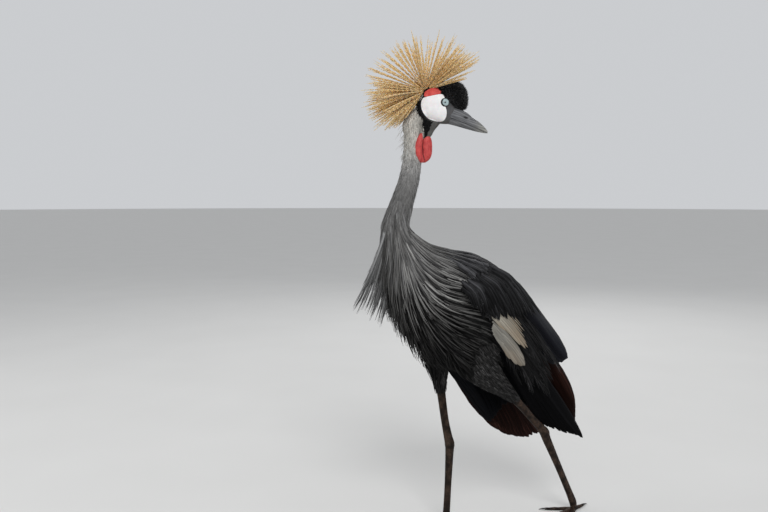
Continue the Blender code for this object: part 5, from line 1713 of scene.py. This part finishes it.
FLIGHT = {
    "tertials": feather_finish("slate_tertial", 90.0, 16.0, 0.10, 0.75, 1.40, 0.85, 0.50, 0.0, 0.06),
    "secondaries": feather_finish("chestnut_secondary", 90.0, 18.0, 0.22, 0.40, 2.60, 0.70, 0.55, 0.0, 0.03),
    "primaries": feather_finish("black_primary", 90.0, 20.0, 0.10, 0.75, 1.50, 3.00, 0.55, 0.0, 0.02),
}
WHITE_COVERT = feather_finish("white_covert", 60.0, 14.0, 0.12, 0.62, 1.14, 0.74, 0.66, 0.0, 0.1)
wing_rng = np.random.default_rng(SEED + 5)
dress_wing(1, LEFT_FLIGHT, wing_rng)
dress_wing(-1, RIGHT_FLIGHT, wing_rng)

# ---- The plumes ------------------------------------------------------------------------------
# Filmy grey plumes with loose pale barbs hang over the quills behind the white coverts. Broad slate
# blades line the wing inside.

PLUME_GAINS = ((1.8, 4.0, 10.0), (0.60, 0.29, 0.11))


def sheet_paths(side, roots, tips, heights, sag, steps, flat=1.0, tuck=0.0):
    """Shafts in a wing's sheet, with the way out of it. Their roots are tucked in."""
    t = np.linspace(0, 1, steps + 1)
    heights = heights[:, None] - tuck * (1 - smooth(t / 0.4))
    back, over = sheet_lines(roots, tips, t, np.asarray(sag)[:, None] * 4 * t * (1 - t))
    here = sheet_point(side, back, over, heights, flat)
    one = sheet_point(side, back + 0.002, over, heights, flat) - here
    two = sheet_point(side, back, over + 0.002, heights, flat) - here
    return here, unit(np.cross(one, two)) * side


def hang_plumes(side, rng):
    label = "left" if side > 0 else "right"
    count = 60
    place = rng.uniform(0, 1, count)
    roots = np.stack([rng.uniform(0.12, 0.22, count), mix(0.062, -0.024, place)], 1)
    back = rng.uniform(0.09, 0.17, count)
    over = mix(-0.004, -0.016, place) + rng.normal(0, 0.006, count)
    tips = roots + np.stack([back, over], 1)
    heights = rng.uniform(0.0008, 0.0040, count)
    centres, outs = sheet_paths(side, roots, tips, heights, rng.normal(0.004, 0.003, count), 10)
    t = np.linspace(0, 1, 11)
    widths = column(rng.uniform(0.0028, 0.0050, count)) * leafy(t, 0.05)
    shade = rng.random(count)
    tones = column(0.35 + 1.0 * shade**2) * np.array((0.0105, 0.0103, 0.0106))
    points = vane_points(centres, outs, widths, 0.0004, 0.25, rng.uniform(-20, 20, count), lanes=4)
    make_coat(f"plumes_{label}", points, tones, SCAPULAR, shade)
    fray(f"plume_strands_{label}", centres, outs, widths, rng, 12, 0.0060, tones, PLUME_GAINS, SCAPULAR,
         shade)
    count = 18
    place = np.linspace(0, 1, count)
    low = -0.112 if side < 0 else -0.050
    roots = np.stack([mix(0.130, 0.160, place), mix(0.040, low * 0.80, place)], 1)
    back = mix(0.392, 0.376, place) + rng.normal(0, 0.004, count)
    tips = np.stack([back, mix(0.036, low * 1.06, place)], 1)
    heights = -0.0300 - 0.0004 * np.arange(count)
    points = sheet_vanes(side, roots, tips, np.full(count, 0.0165), 0.60, heights, rng,
                         flat=0.6 if side < 0 else 1.0)
    shade = rng.random(count)
    tones = column(0.6 + 0.7 * shade) * np.array((0.0042, 0.0044, 0.0060))
    make_coat(f"lining_{label}", points, tones, FLIGHT["tertials"], shade, atlas(count))


plume_rng = np.random.default_rng(SEED + 6)
hang_plumes(1, plume_rng)
hang_plumes(-1, plume_rng)

# ---- The long scapulars ----------------------------------------------------------------------
# The longest scapulars drape from the shoulder over the roots of the white coverts and the tertials,
# broad and near black, with loose pale barbs that run down from the ridge.

# Tip, root and outward bow (back, over), from the lowest to the ridge.
HIND_SCAPULARS = (
    ((0.110, -0.013), (0.044, -0.001), 0.002), ((0.118, -0.009), (0.042, 0.006), 0.003),
    ((0.123, -0.004), (0.044, 0.012), 0.003), ((0.134, 0.004), (0.048, 0.020), 0.004),
    ((0.149, 0.014), (0.054, 0.029), 0.005), ((0.168, 0.027), (0.060, 0.040), 0.006),
    ((0.178, 0.042), (0.066, 0.052), 0.008), ((0.193, 0.057), (0.072, 0.062), 0.010),
    ((0.208, 0.072), (0.078, 0.070), 0.011), ((0.224, 0.086), (0.084, 0.077), 0.012),
    ((0.240, 0.098), (0.090, 0.083), 0.013),
)


def lay_hind_scapulars(side, rng):
    label = "left" if side > 0 else "right"
    each = 4
    table = np.repeat(np.array([(*tip, *root, bow) for tip, root, bow in HIND_SCAPULARS]), each, axis=0)
    count, steps = len(table), 12
    short = (np.arange(count) % each)[:, None] * np.array((0.014, 0.003))
    tips = table[:, :2] + rng.normal(0, 0.0015, (count, 2)) - short
    roots = table[:, 2:4] + rng.normal(0, 0.003, (count, 2)) - short * 0.5
    heights = 0.0084 + 0.00012 * np.arange(count)
    bows = table[:, 4] + rng.normal(0, 0.001, count)
    centres, outs = sheet_paths(side, roots, tips, heights, bows, steps, 0.75, 0.020)
    t = np.linspace(0, 1, steps + 1)
    widths = column(rng.uniform(0.0066, 0.0090, count)) * leafy(t, 0.35)
    shade = rng.random(count)
    # Painted light and shade: each is painted paler at its root high on the back and darker towards its tip.
    tones = column(0.35 + 1.0 * shade**1.5)[:, None] * column(mix(1.8, 0.42, smooth(t)))[None]
    tones = tones * np.array((0.0145, 0.0145, 0.0155))
    points = vane_points(centres, outs, widths, 0.0006, 0.16, rng.uniform(-4, 4, count), lanes=4)
    make_coat(f"hind_scapulars_{label}", points, tones, SCAPULAR, shade)
    fray(f"hind_strands_{label}", centres, outs, widths, rng, 10, 0.0026, tones, 2.4, SCAPULAR,
         shade)


lay_hind_scapulars(1, plume_rng)
lay_hind_scapulars(-1, plume_rng)

# ---- The tail --------------------------------------------------------------------------------
# Twelve short black tail feathers lie in a closed fan between the wings' tips, with their quills
# under the feathers at the end of the back.


def grow_tail():
    rng = np.random.default_rng(SEED + 7)
    t = near_end(12)
    points = []
    for k in range(12):
        side = 1 if k % 2 else -1
        pair = k // 2
        depth = 0.0011 * k
        spread = side * (pair + 0.5)
        back = mix(0.380, 0.493 - 0.005 * pair, t)
        over = 0.010 - depth - 0.040 * t * t
        y = mix(0.0008 * spread, 0.0021 * spread, t)
        centres = WRIST + column(back) * BACK + column(over) * OVER + column(y) * np.array((0, 1.0, 0))
        widths = 0.0135 * leafy(t, 0.7)
        points.append(vane_points(centres[None], np.broadcast_to(OVER, centres.shape)[None], widths[None],
                                  0.0006, 0.10, lanes=4)[0])
    shade = rng.random(12)
    tones = column(rng.uniform(0.8, 1.2, 12)) * np.array((0.0030, 0.0030, 0.0034))
    make_coat("tail_feathers", np.stack(points), tones, FLIGHT["primaries"], shade,
              atlas(12), replaced=("tail",))


grow_tail()

# ---- The eyes --------------------------------------------------------------------------------
# Each eye is one smooth ball of glass with its colours set into it: a small black pupil, a pale
# grey-blue iris with fine spokes, and a dark ring where it meets the lid.

IRIS = 0.0080
PUPIL = 0.0018
GLASS = 0.0092


def make_eye(side):
    centre = head_point(*EYE_SEAT, side * (EYE_OUT + 0.0008))
    label = "right" if side > 0 else "left"

    def place(t, turn):
        lean = t * math.pi
        angle = column(turn * 2 * math.pi)
        bulge = 0.0009 * smooth((np.cos(lean) - 0.55) / 0.45)
        out = column((GLASS + bulge) * np.cos(lean)) * RIGHT * side
        return centre + out + column(GLASS * np.sin(lean)) * (AHEAD * np.cos(angle) + CROWN * np.sin(angle))

    mesh = tube(f"eye_{label}", 64, 64, place)
    points = mesh_points(mesh)
    offset = points - centre
    front = (offset @ RIGHT) * side > 0
    across = np.hypot(offset @ AHEAD, offset @ CROWN)
    add_layer(mesh, "from_pupil", np.where(front, across, 0.02))
    add_layer(mesh, "round_pupil", np.arctan2(offset @ CROWN, offset @ AHEAD))
    uv = np.stack([0.5 + 50 * offset @ AHEAD * np.where(front, 1, 0.9), 0.5 + 50 * offset @ CROWN], -1)
    uv[:, 0] = np.where(front, uv[:, 0] * 0.5, 0.5 + uv[:, 0] * 0.5)
    unroll(mesh, uv)
    piece = new_piece(f"eye_{label}_glass", mesh, EYE_GLASS)
    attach(piece, "root")
    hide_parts(f"eye_{label}")


def eye_finish():
    material, shader, g = new_finish("eye_glass", 0.08)
    reach = g.layer("from_pupil")
    spokes = g.vector(g.math("MULTIPLY", g.layer("round_pupil"), 6.0), g.math("MULTIPLY", reach, 160.0))
    fibre = g.noise(spokes, 2.2, 4.0)
    iris = g.blend(g.ramp(fibre, 0.3, 0.7), (0.30, 0.42, 0.44), (0.56, 0.68, 0.69))
    ring = g.ramp(g.math("ABSOLUTE", g.math("SUBTRACT", reach, PUPIL + 0.0011)), 0.0009, 0.0)
    iris = g.blend(g.math("MULTIPLY", ring, 0.55), iris, (0.10, 0.16, 0.19))
    iris = g.blend(g.ramp(reach, IRIS - 0.0006, IRIS), iris, (0.030, 0.040, 0.046))
    colour = g.blend(g.ramp(reach, PUPIL - 0.00015, PUPIL + 0.00015), (0.003, 0.003, 0.003), iris)
    g.fill(shader, {"Base Color": colour, "Coat Weight": 0.8, "Coat Roughness": 0.03})
    return material


EYE_GLASS = eye_finish()
make_eye(1)
make_eye(-1)

# ---- The bill --------------------------------------------------------------------------------
# The bill is slate-grey horn in two halves that close on a fine line, with a long nostril on each side
# of the upper half and growth streaks that run to the paler tip.

BILL = (
    (0.0160, -0.0205, 0.0182, 0.0136),
    (0.0200, -0.0205, 0.0176, 0.0126),
    (0.030, -0.0194, 0.0174, 0.0103),
    (0.047, -0.0200, 0.0155, 0.0078),
    (0.060, -0.0220, 0.0125, 0.0062),
    (0.075, -0.0232, 0.0099, 0.0046),
    (0.088, -0.0248, 0.0063, 0.0030),
    (0.096, -0.0263, 0.0030, 0.0016),
    (0.0988, -0.0270, 0.0010, 0.0007),
)
MOUTH_LINE = -0.0270
NOSTRIL = (0.0480, -0.0153)


def make_bill(label, half):
    """The upper half is cut flat above the mouth line and the lower one below it."""

    def place(t, turn):
        share = (1 - (1 - t) ** 1.15) * (len(BILL) - 1)
        row = on_rows(BILL, share)
        angle = turn * 2 * math.pi
        up, out = np.sin(angle), np.cos(angle)
        keel = 1 - 0.16 * np.clip(up * half, 0, 1) ** 3
        f = row[..., 0]
        u = row[..., 1] + row[..., 2] * up
        r = row[..., 3] * out * keel
        line = MOUTH_LINE + 0.0006 * np.sin((f - 0.02) * 60) + half * 0.00022
        over = (line - u) * half
        u = np.where(over > 0, line + half * 0.0004 * np.exp(-over / 0.001), u)
        r = np.where(over > 0, r * np.clip(1 - over / 0.020, 0.35, 1) * 0.985, r)
        if half > 0:
            pit = np.exp(-((f - NOSTRIL[0]) / 0.0048) ** 2 - ((u - NOSTRIL[1]) / 0.0018) ** 2)
            groove = np.exp(-((u - NOSTRIL[1] - 0.0006) / 0.0022) ** 2) * smooth((0.066 - f) / 0.02)
            r = r - np.sign(r) * (0.0020 * pit + 0.0005 * groove)
        return head_point(f, u, r)

    mesh = tube(f"bill_{label}", 150, 72, place)
    points = mesh_points(mesh)
    f, u, r = head_frame(points)
    pit = np.exp(-(((f - NOSTRIL[0]) / 0.0046) ** 2 + ((u - NOSTRIL[1]) / 0.0019) ** 2) ** 2)
    add_layer(mesh, "nostril", np.minimum(1, 1.7 * pit) * (half > 0))
    add_layer(mesh, "along_bill", f)
    add_layer(mesh, "over_bill", u)
    unroll(mesh, np.stack([(f - 0.012) / 0.09, np.where(r > 0, 0.0, 0.5) + 0.5 * (u + 0.042) / 0.044], -1))
    piece = new_piece(f"horn_{label}", mesh, BILL_HORN)
    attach(piece, "root")
    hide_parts(f"bill_{label}")


def horn_finish():
    material, shader, g = new_finish("bill_horn", 0.38)
    along = g.math("MULTIPLY", g.layer("along_bill"), 26.0)
    streak = g.noise(g.vector(along, g.math("MULTIPLY", g.layer("over_bill"), 420.0)), 1.0, 5.0, 0.65)
    fine = g.noise(g.place(), 700.0, 4.0)
    tip = g.ramp(g.layer("along_bill"), 0.060, 0.092)
    dark = g.blend(tip, (0.060, 0.061, 0.066), (0.110, 0.110, 0.104))
    pale = g.blend(tip, (0.165, 0.168, 0.176), (0.300, 0.296, 0.270))
    colour = g.blend(g.ramp(streak, 0.38, 0.64), dark, pale)
    colour = g.blend(g.ramp(fine, 0.50, 0.75, 0.0, 0.35), colour, (0.26, 0.262, 0.268))
    # The nostril's pit is painted near black as shade inside its opening.
    colour = g.blend(g.layer("nostril"), colour, (0.004, 0.004, 0.004))
    g.feed(shader.inputs["Base Color"], colour)
    g.feed(shader.inputs["Roughness"], g.ramp(streak, 0.3, 0.7, 0.32, 0.50))
    g.feed(shader.inputs["Normal"], g.bump(g.math("MULTIPLY_ADD", fine, 0.4, streak), 0.45, 0.0004))
    return material


BILL_HORN = horn_finish()
make_bill("upper", 1)
make_bill("lower", -1)

# ---- The forehead cushion --------------------------------------------------------------------
# A dome of short stiff black velvet rises over the forehead from the bill to the crest: a dark core set
# with thousands of tiny upright feathers.

CUSHION = (
    (-0.0270, 0.0170, 0.0040, 0.0050),
    (-0.0235, 0.0190, 0.0110, 0.0120),
    (-0.0110, 0.0220, 0.0180, 0.0190),
    (0.0040, 0.0235, 0.0225, 0.0225),
    (0.0165, 0.0203, 0.0250, 0.0225),
    (0.0268, 0.0163, 0.0226, 0.0200),
    (0.0346, 0.0115, 0.0170, 0.0150),
    (0.0390, 0.0080, 0.0102, 0.0090),
    (0.0410, 0.0070, 0.0040, 0.0040),
)
PLUSH = 0.0030
CUSHION_TUFTS = 7400


def cushion_lay(row):
    centre = head_point(row[..., 0], row[..., 1])
    tall, wide = (column(np.maximum(row[..., k] - PLUSH, 0.001)) for k in (2, 3))
    return centre, tall * CROWN, wide * RIGHT


def spikes(name, spots, ways, lengths, half_width, tones, material):
    """Tiny upright vanes that stand on their spots and lean a little."""
    steps = 2
    t = np.linspace(0, 1, steps + 1)
    centres = spots[:, None] + ways[:, None] * (column(lengths) * t)[..., None] - ways[:, None] * 0.0006
    sides = unit(np.cross(ways, np.array((0.3, 0.5, 0.8))))
    widths = np.broadcast_to(half_width * np.linspace(1.0, 0.30, steps + 1), (len(spots), steps + 1))
    normals = np.broadcast_to(sides[:, None], centres.shape)
    points = vane_points(centres, normals, widths, widths * 0.9, 0.0, lanes=1)
    make_coat(name, points, tones, material, np.linspace(0, 1, len(spots)))


def make_cushion():
    rng = np.random.default_rng(SEED + 8)
    mesh = ring_tube("cushion_core", CUSHION, 60, 64, cushion_lay)
    add_layer(mesh, "tone", np.tile((0.006, 0.006, 0.0065), (len(mesh.vertices), 1)))
    f, u, r = head_frame(mesh_points(mesh))
    unroll(mesh, np.stack([0.5 + 10 * f, 0.25 + 8 * u + 0.4 * (r > 0)], -1), "vane")
    core = new_piece("cushion_core", mesh, VELVET)
    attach(core, "root")
    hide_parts("forehead_cushion")
    middle, normal, area = skin_samples(mesh)
    count = CUSHION_TUFTS
    chosen = rng.choice(len(area), size=count, p=area / area.sum())
    spots = middle[chosen] + rng.uniform(-0.5, 0.5, (count, 3)) * np.sqrt(area[chosen])[:, None]
    ways = unit(normal[chosen] + rng.normal(0, 0.24, (count, 3)) - AHEAD * 0.18)
    stray = rng.random(count) < 0.20
    lengths = PLUSH + rng.uniform(-0.0006, 0.0012, count) + stray * rng.uniform(0.0006, 0.0022, count)
    base = rng.uniform(0.024, 0.060, count)
    tip = np.where(stray, rng.uniform(0.10, 0.26, count), base * 1.5)
    tones = np.stack([base, base, tip], 1)[..., None] * np.array((1.0, 1.0, 1.02))
    spikes("cushion_velvet", spots, ways, lengths, 0.00036, tones, VELVET)


VELVET = feather_finish("black_velvet", 2.0, 0.0, 0.5, 0.8, 1.2, 1.0, 0.75, 0.0, 0.05)
make_cushion()

# ---- The crest -------------------------------------------------------------------------------
# Hundreds of stiff, flattened, twisted bristles of straw-gold stand in a round fan behind the head.
# Their twist shows by turns the pale face and the dark edge, and dark flecks painted along each bristle,
# partly their own flecks and partly painted shade of the twisted edges, give the fan its grain.

CREST_ROOT = (-0.045, 0.006)
CREST_LENGTH = 0.116
CREST_RAYS = 240
CREST_TRIED = 760
CREST_KEPT = 560
CREST_HALF_TURNS = 9
GOLDEN_RATIO = 0.618034


def crest_finish():
    material, shader, g = new_finish("crest_straw", 0.5, 1.0, shine=0.2)
    g.fill(shader, {"Sheen Tint": (1.0, 0.66, 0.32), "Subsurface Weight": 0.6,
                    "Subsurface Radius": (1.0, 0.7, 0.4), "Subsurface Scale": 0.002})
    vane = g.vane(21.0, 0.0, 1.0)
    tone = g.layer("tone", "Color")
    dark = g.blend(1.0, tone, (0.24, 0.16, 0.09), "MULTIPLY")
    pale = g.blend(1.0, tone, (1.0, 1.10, 1.25), "MULTIPLY")
    colour = g.blend(g.ramp(vane["Mottle"], 0.35, 0.70), tone, pale)
    # Dark flecks along each bristle: partly its own flecks, partly painted shade for the edges of its twist.
    colour = g.blend(g.ramp(vane["Barb"], 0.74, 0.97, 0.0, 0.56), colour, dark)
    g.fill(shader, {"Base Color": colour, "Normal": g.bump(vane["Barb"], 0.4, 0.0003)})
    return material


def make_crest():
    rng = np.random.default_rng(SEED + 9)
    count, rays = CREST_TRIED, CREST_RAYS
    order = np.arange(rays)
    mine = rng.integers(0, rays, count)
    heading = (order + rng.uniform(0.2, 0.8, rays)) / rays
    heading = np.interp(heading, (0, 0.22, 0.39, 0.50, 1.0), (15.0, 56.0, 120.0, 165.0, 233.0))
    leaning = mix(-42, 42, order * GOLDEN_RATIO % 1)
    fan = np.radians(heading[mine] + rng.normal(0, 0.28, count))
    slant = np.radians(leaning[mine] + rng.normal(0, 0.9, count))
    plane = column(np.cos(fan)) * LEVEL + column(np.sin(fan)) * UPRIGHT
    way = unit(plane * column(np.cos(slant)) + RIGHT * column(np.sin(slant)))
    heart = head_point(*CREST_ROOT)
    start = heart + way * 0.0035
    reach = np.interp(np.degrees(fan), (14, 23, 30, 54, 70, 86, 115, 143, 161, 180, 200, 219, 228, 233),
                      (0.76, 0.94, 1.10, 1.12, 1.09, 1.05, 1.06, 1.06, 1.10, 1.09, 1.12, 1.00, 0.84, 0.64))
    short = rng.random(rays) < 0.25
    share = np.where(short, rng.uniform(0.62, 0.84, rays), rng.uniform(0.86, 0.99, rays))
    share = share[mine] * rng.uniform(0.94, 1.02, count)
    length = CREST_LENGTH * share * reach
    length = length * mix(1.0, 0.95, np.abs(slant) / 0.75)
    blocked = np.zeros(count, bool)
    for share in (0.25, 0.35, 0.45, 0.55, 0.65, 0.8, 0.95):
        inside = np.stack(head_frame(start + way * column(length * share)), 1) - (0.008, 0.0205, 0.0)
        blocked |= ((inside / (0.0365, 0.0270, 0.0260)) ** 2).sum(axis=1) < 1
    near = start + way * column(length * 0.35)
    from_nape = (near - EYE_POINT) @ np.stack([LEVEL, RIGHT], 1) - (-0.062, 0.0)
    low = (near[:, 2] < 0.872) & (np.linalg.norm(from_nape, axis=1) < 0.020)
    keep = np.nonzero(~(blocked | low))[0]
    keep = rng.choice(keep, min(len(keep), CREST_KEPT), replace=False)
    way, start, length = way[keep], start[keep], length[keep]
    count = len(keep)
    steps = 42
    t = np.linspace(0, 1, steps + 1)
    sag = np.array((0, 0, -1.0)) * 0.004
    curl = rng.normal(0, 0.0022, (count, 3))
    centres = start[:, None] + way[:, None] * (column(length) * t)[..., None]
    centres = centres + (sag + curl)[:, None] * (t**2)[None, :, None]
    ahead = unit(np.gradient(centres, axis=1))
    side = unit(np.cross(ahead, RIGHT + 0.3 * LEVEL))
    other = np.cross(ahead, side)
    turn = (column(rng.uniform(0, 6.28, count)) + t * CREST_HALF_TURNS * math.pi)[..., None]
    facing = side * np.cos(turn) + other * np.sin(turn)
    widths = np.interp(t, (0, 0.12, 0.8, 1), (0.0010, 0.0013, 0.0012, 0.0004))
    widths = np.broadcast_to(widths, (count, steps + 1))
    points = vane_points(centres, facing, widths, widths * 0.9, 0.0, lanes=1)
    gold = np.array((1.00, 0.57, 0.22))
    straw = np.array((1.00, 0.70, 0.37))
    kind = column(rng.random(count))
    bright = rng.uniform(0.84, 1.0, rays)[mine[keep]] * rng.uniform(0.88, 1.0, count)
    tones = mix(gold, straw, kind) * column(bright)
    along = mix(0.94, 1.0, smooth(t / 0.25))[None, :, None]
    tones = tones[:, None, :] * along
    high = smooth((ahead[:, 0, 2] - 0.3) / 0.6)
    tones = tones * mix(1.0, 0.85, column(high)[:, None] * smooth((t - 0.5) / 0.5)[None, :, None])
    make_coat("crest_bristles", points, tones, crest_finish(), rng.random(count),
              replaced=("crest",))


make_crest()

# ---- The wattle ------------------------------------------------------------------------------
# The bare throat wattle hangs in two soft coral-red lobes that meet in a groove darkened with painted
# shade. Its skin is finely folded and beaded.

# Each row: height under the eyes, along the head, half depth, to the right, half width.
WATTLE_FRONT = (
    (-0.0655, -0.0375, 0.0070, 0.0000, 0.0062),
    (-0.0740, -0.0372, 0.0104, 0.0012, 0.0080),
    (-0.0880, -0.0368, 0.0112, 0.0014, 0.0086),
    (-0.1020, -0.0378, 0.0112, 0.0020, 0.0086),
    (-0.1120, -0.0400, 0.0088, 0.0024, 0.0072),
    (-0.1180, -0.0430, 0.0036, 0.0030, 0.0037),
)
WATTLE_NEAR = (
    (-0.0610, -0.0470, 0.0036, 0.0070, 0.0040),
    (-0.0740, -0.0515, 0.0068, 0.0085, 0.0060),
    (-0.0880, -0.0538, 0.0082, 0.0095, 0.0074),
    (-0.1020, -0.0530, 0.0082, 0.0095, 0.0074),
    (-0.1120, -0.0490, 0.0070, 0.0085, 0.0060),
    (-0.1180, -0.0460, 0.0032, 0.0080, 0.0032),
)


def wattle_lay(row):
    centre = EYE_POINT + column(row[..., 1]) * LEVEL + column(row[..., 0]) * UPRIGHT
    return centre + column(row[..., 3]) * RIGHT, column(row[..., 2]) * LEVEL, column(row[..., 4]) * RIGHT


def wattle_finish():
    material, shader, g = new_finish("wattle_skin", 0.48, shine=0.25)
    at = g.place()
    folds = g.noise(g.place((1.0, 1.0, 0.35)), 260.0, 4.0)
    beads = g.cells(at, 900.0)
    broad = g.noise(at, 90.0, 3.0)
    colour = g.blend(g.ramp(broad, 0.3, 0.7), (0.43, 0.034, 0.036), (0.57, 0.075, 0.068))
    colour = g.blend(g.ramp(beads, 0.35, 0.8, 0.0, 0.45), colour, (0.68, 0.14, 0.12))
    colour = g.blend(g.ramp(folds, 0.48, 0.70, 0.0, 0.55), colour, (0.22, 0.016, 0.020))
    # Painted shade darkens the groove where the two lobes meet.
    colour = g.blend(g.math("MULTIPLY", g.layer("groove"), 0.95), colour, (0.045, 0.004, 0.006))
    height = g.math("MULTIPLY_ADD", beads, -0.6, folds)
    g.fill(shader, {"Base Color": colour, "Normal": g.bump(height, 0.8, 0.0006),
                    "Subsurface Weight": 0.15, "Subsurface Scale": 0.002})
    return material


def make_wattle():
    lobes = [ring_tube("lobe", rows, 40, 40, wattle_lay) for rows in (WATTLE_FRONT, WATTLE_NEAR)]
    piece = applied(fused("wattle_lobes", lobes, 0.00055, 3))
    points = mesh_points(piece.data)
    offset = points - EYE_POINT
    z, p, r = offset @ UPRIGHT, offset @ LEVEL, offset @ RIGHT
    front, near = ([np.interp(-z, -np.array(rows)[:, 0], np.array(rows)[:, k]) for k in (1, 2, 3, 4)]
                   for rows in (WATTLE_FRONT, WATTLE_NEAR))
    gaps = [np.hypot((p - lobe[0]) / lobe[1], (r - lobe[2]) / lobe[3]) - 1 for lobe in (front, near)]
    groove = smooth(1 - np.abs(gaps[0] - gaps[1]) / 0.34) * smooth((0.22 - np.minimum(*gaps)) / 0.2)
    add_layer(piece.data, "groove", groove * smooth((-0.064 - z) / 0.008))
    across = np.where(r > 0.004, 0.0, 0.5) + 0.5 * (p + 0.065) / 0.045
    unroll(piece.data, np.stack([across, (z + 0.125) / 0.065], -1))
    piece.data.materials.clear()
    piece.data.materials.append(wattle_finish())
    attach(piece, "root")
    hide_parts("wattle")


make_wattle()

# ---- The face's plush ------------------------------------------------------------------------
# Short black velvet frames the bare cheek above, behind and below, and a few pale wisps stand off the
# nape where the velvet ends.


def plush_density(points):
    f, u, r = head_frame(points)
    cheek = np.minimum(inside_by(rounded(CHEEK), f, u), np.abs(r) - 0.0035)
    red = np.minimum(inside_by(rounded(RED_PATCH, 2), f, u), np.abs(r) - 0.0030)
    level = (points - EYE_POINT) @ LEVEL
    head = (points[:, 2] > 0.834) & (f > -0.056) & (level > -0.066)
    head = head & (f < 0.006 - 0.25 * np.maximum(u, -0.02))
    eye = np.hypot(f - EYE_SEAT[0], u - EYE_SEAT[1]) < 0.0112
    low = -0.043 - (points - EYE_POINT)[:, 2]
    strip = (low > -0.004) & (level > -0.0262 - 0.416 * low)
    lores = (f > -0.012) & (u > -0.042) & (u < -0.003)
    neck = (u < 0.004) & (cheek < -0.0062) & (level < -0.0425)
    return (head & (cheek < -0.0012) & (red < -0.0010) & ~eye & ~strip & ~lores & ~neck).astype(float)


def plush_way(points):
    _, u, _ = head_frame(points)
    return -AHEAD * 0.8 - CROWN * column(mix(0.15, 0.9, smooth((-0.01 - u) / 0.03)))


def make_plush():
    rng = np.random.default_rng(SEED + 10)
    roots = scatter(rng, plush_density, 5200, 0.0011)
    count = len(roots)
    centres, normals = lie(roots, plush_way, rng.uniform(0.0045, 0.0075, count), 3)
    t = np.linspace(0, 1, 4)
    lift = column(rng.uniform(0.0008, 0.0022, count)) * smooth(t / 0.8) - 0.0006 * (t == 0)
    centres = centres + normals * lift[..., None]
    widths = column(rng.uniform(0.0005, 0.0009, count)) * taper(t, 1.5, 0.15)
    shade = rng.random(count)
    points = vane_points(centres, normals, widths, 0.0003, 0.3, rng.uniform(-25, 25, count), lanes=1)
    tones = column(rng.uniform(0.006, 0.020, count)) * np.ones(3)
    make_coat("face_plush", points, tones, VELVET, shade)
    count = 46
    start = trunk_point(rng.uniform(11.2, 12.9, count), rng.normal(206, 30, count), -0.002)
    start, outs = on_skin(start)
    way = unit(outs * 0.28 - UPRIGHT * 0.9 + rng.normal(0, 0.16, (count, 3)))
    t = np.linspace(0, 1, 6)
    length = rng.uniform(0.010, 0.024, count)
    centres = start[:, None] + way[:, None] * (column(length) * t)[..., None]
    centres = centres + outs[:, None] * (0.003 * smooth(t / 0.5))[None, :, None]
    widths = column(rng.uniform(0.0005, 0.0010, count)) * taper(t, 1.5, 0.15)
    normals = np.broadcast_to(unit(outs + RIGHT * 0.2)[:, None], centres.shape)
    points = vane_points(centres, normals, widths, 0.0003, 0.3, rng.uniform(-40, 40, count))
    tones = column(rng.uniform(0.45, 0.75, count)) * np.array((1.0, 0.98, 0.94))
    # The wisps wear the frame's own plain finish of the neck.
    plain = bpy.data.materials["neck_feathers"]
    make_coat("nape_wisps", points, tones, plain, rng.random(count))


make_plush()

# ---- The claws -------------------------------------------------------------------------------
# A short blunt claw of dark horn ends each toe. It lies along the floor and is drawn down to its tip.


def claw_finish():
    material, shader, g = new_finish("claw_horn", 0.35)
    streak = g.noise(g.place((1.0, 1.0, 4.0)), 500.0, 4.0)
    colour = g.blend(g.ramp(streak, 0.35, 0.7), (0.012, 0.011, 0.011), (0.055, 0.048, 0.043))
    g.fill(shader, {"Base Color": colour, "Normal": g.bump(streak, 0.4, 0.0003)})
    return material


def make_claws():
    meshes = []
    for name, *foot in FEET:
        for label, ankle, along, across, length, _ in toes_of(*foot):

            def place(t, turn):
                angle = turn * 2 * math.pi
                run = length - 0.005 + 0.0195 * t
                top = np.interp(t, (0, 0.3, 0.7, 1), (0.0050, 0.0052, 0.0036, 0.0012))
                sole = np.interp(t, (0, 0.3, 0.7, 1), (0.0010, 0.0014, 0.0012, 0.0004))
                wide = np.interp(t, (0, 0.3, 0.7, 1), (0.0021, 0.0021, 0.0014, 0.0003))
                z = (top + sole) / 2 + (top - sole) / 2 * np.sin(angle)
                flat = column(run) * along + column(wide * np.cos(angle)) * across
                return ankle + flat + column(z) * UPRIGHT

            meshes.append(tube(f"claw_{name}_{label}", 18, 16, place))
    piece = new_piece("claws", joined("claws", meshes), claw_finish())
    piece.data.shade_smooth()
    points = mesh_points(piece.data)
    unroll(piece.data, 0.5 + points[:, :2] / 0.7)
    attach(piece, "root")


make_claws()
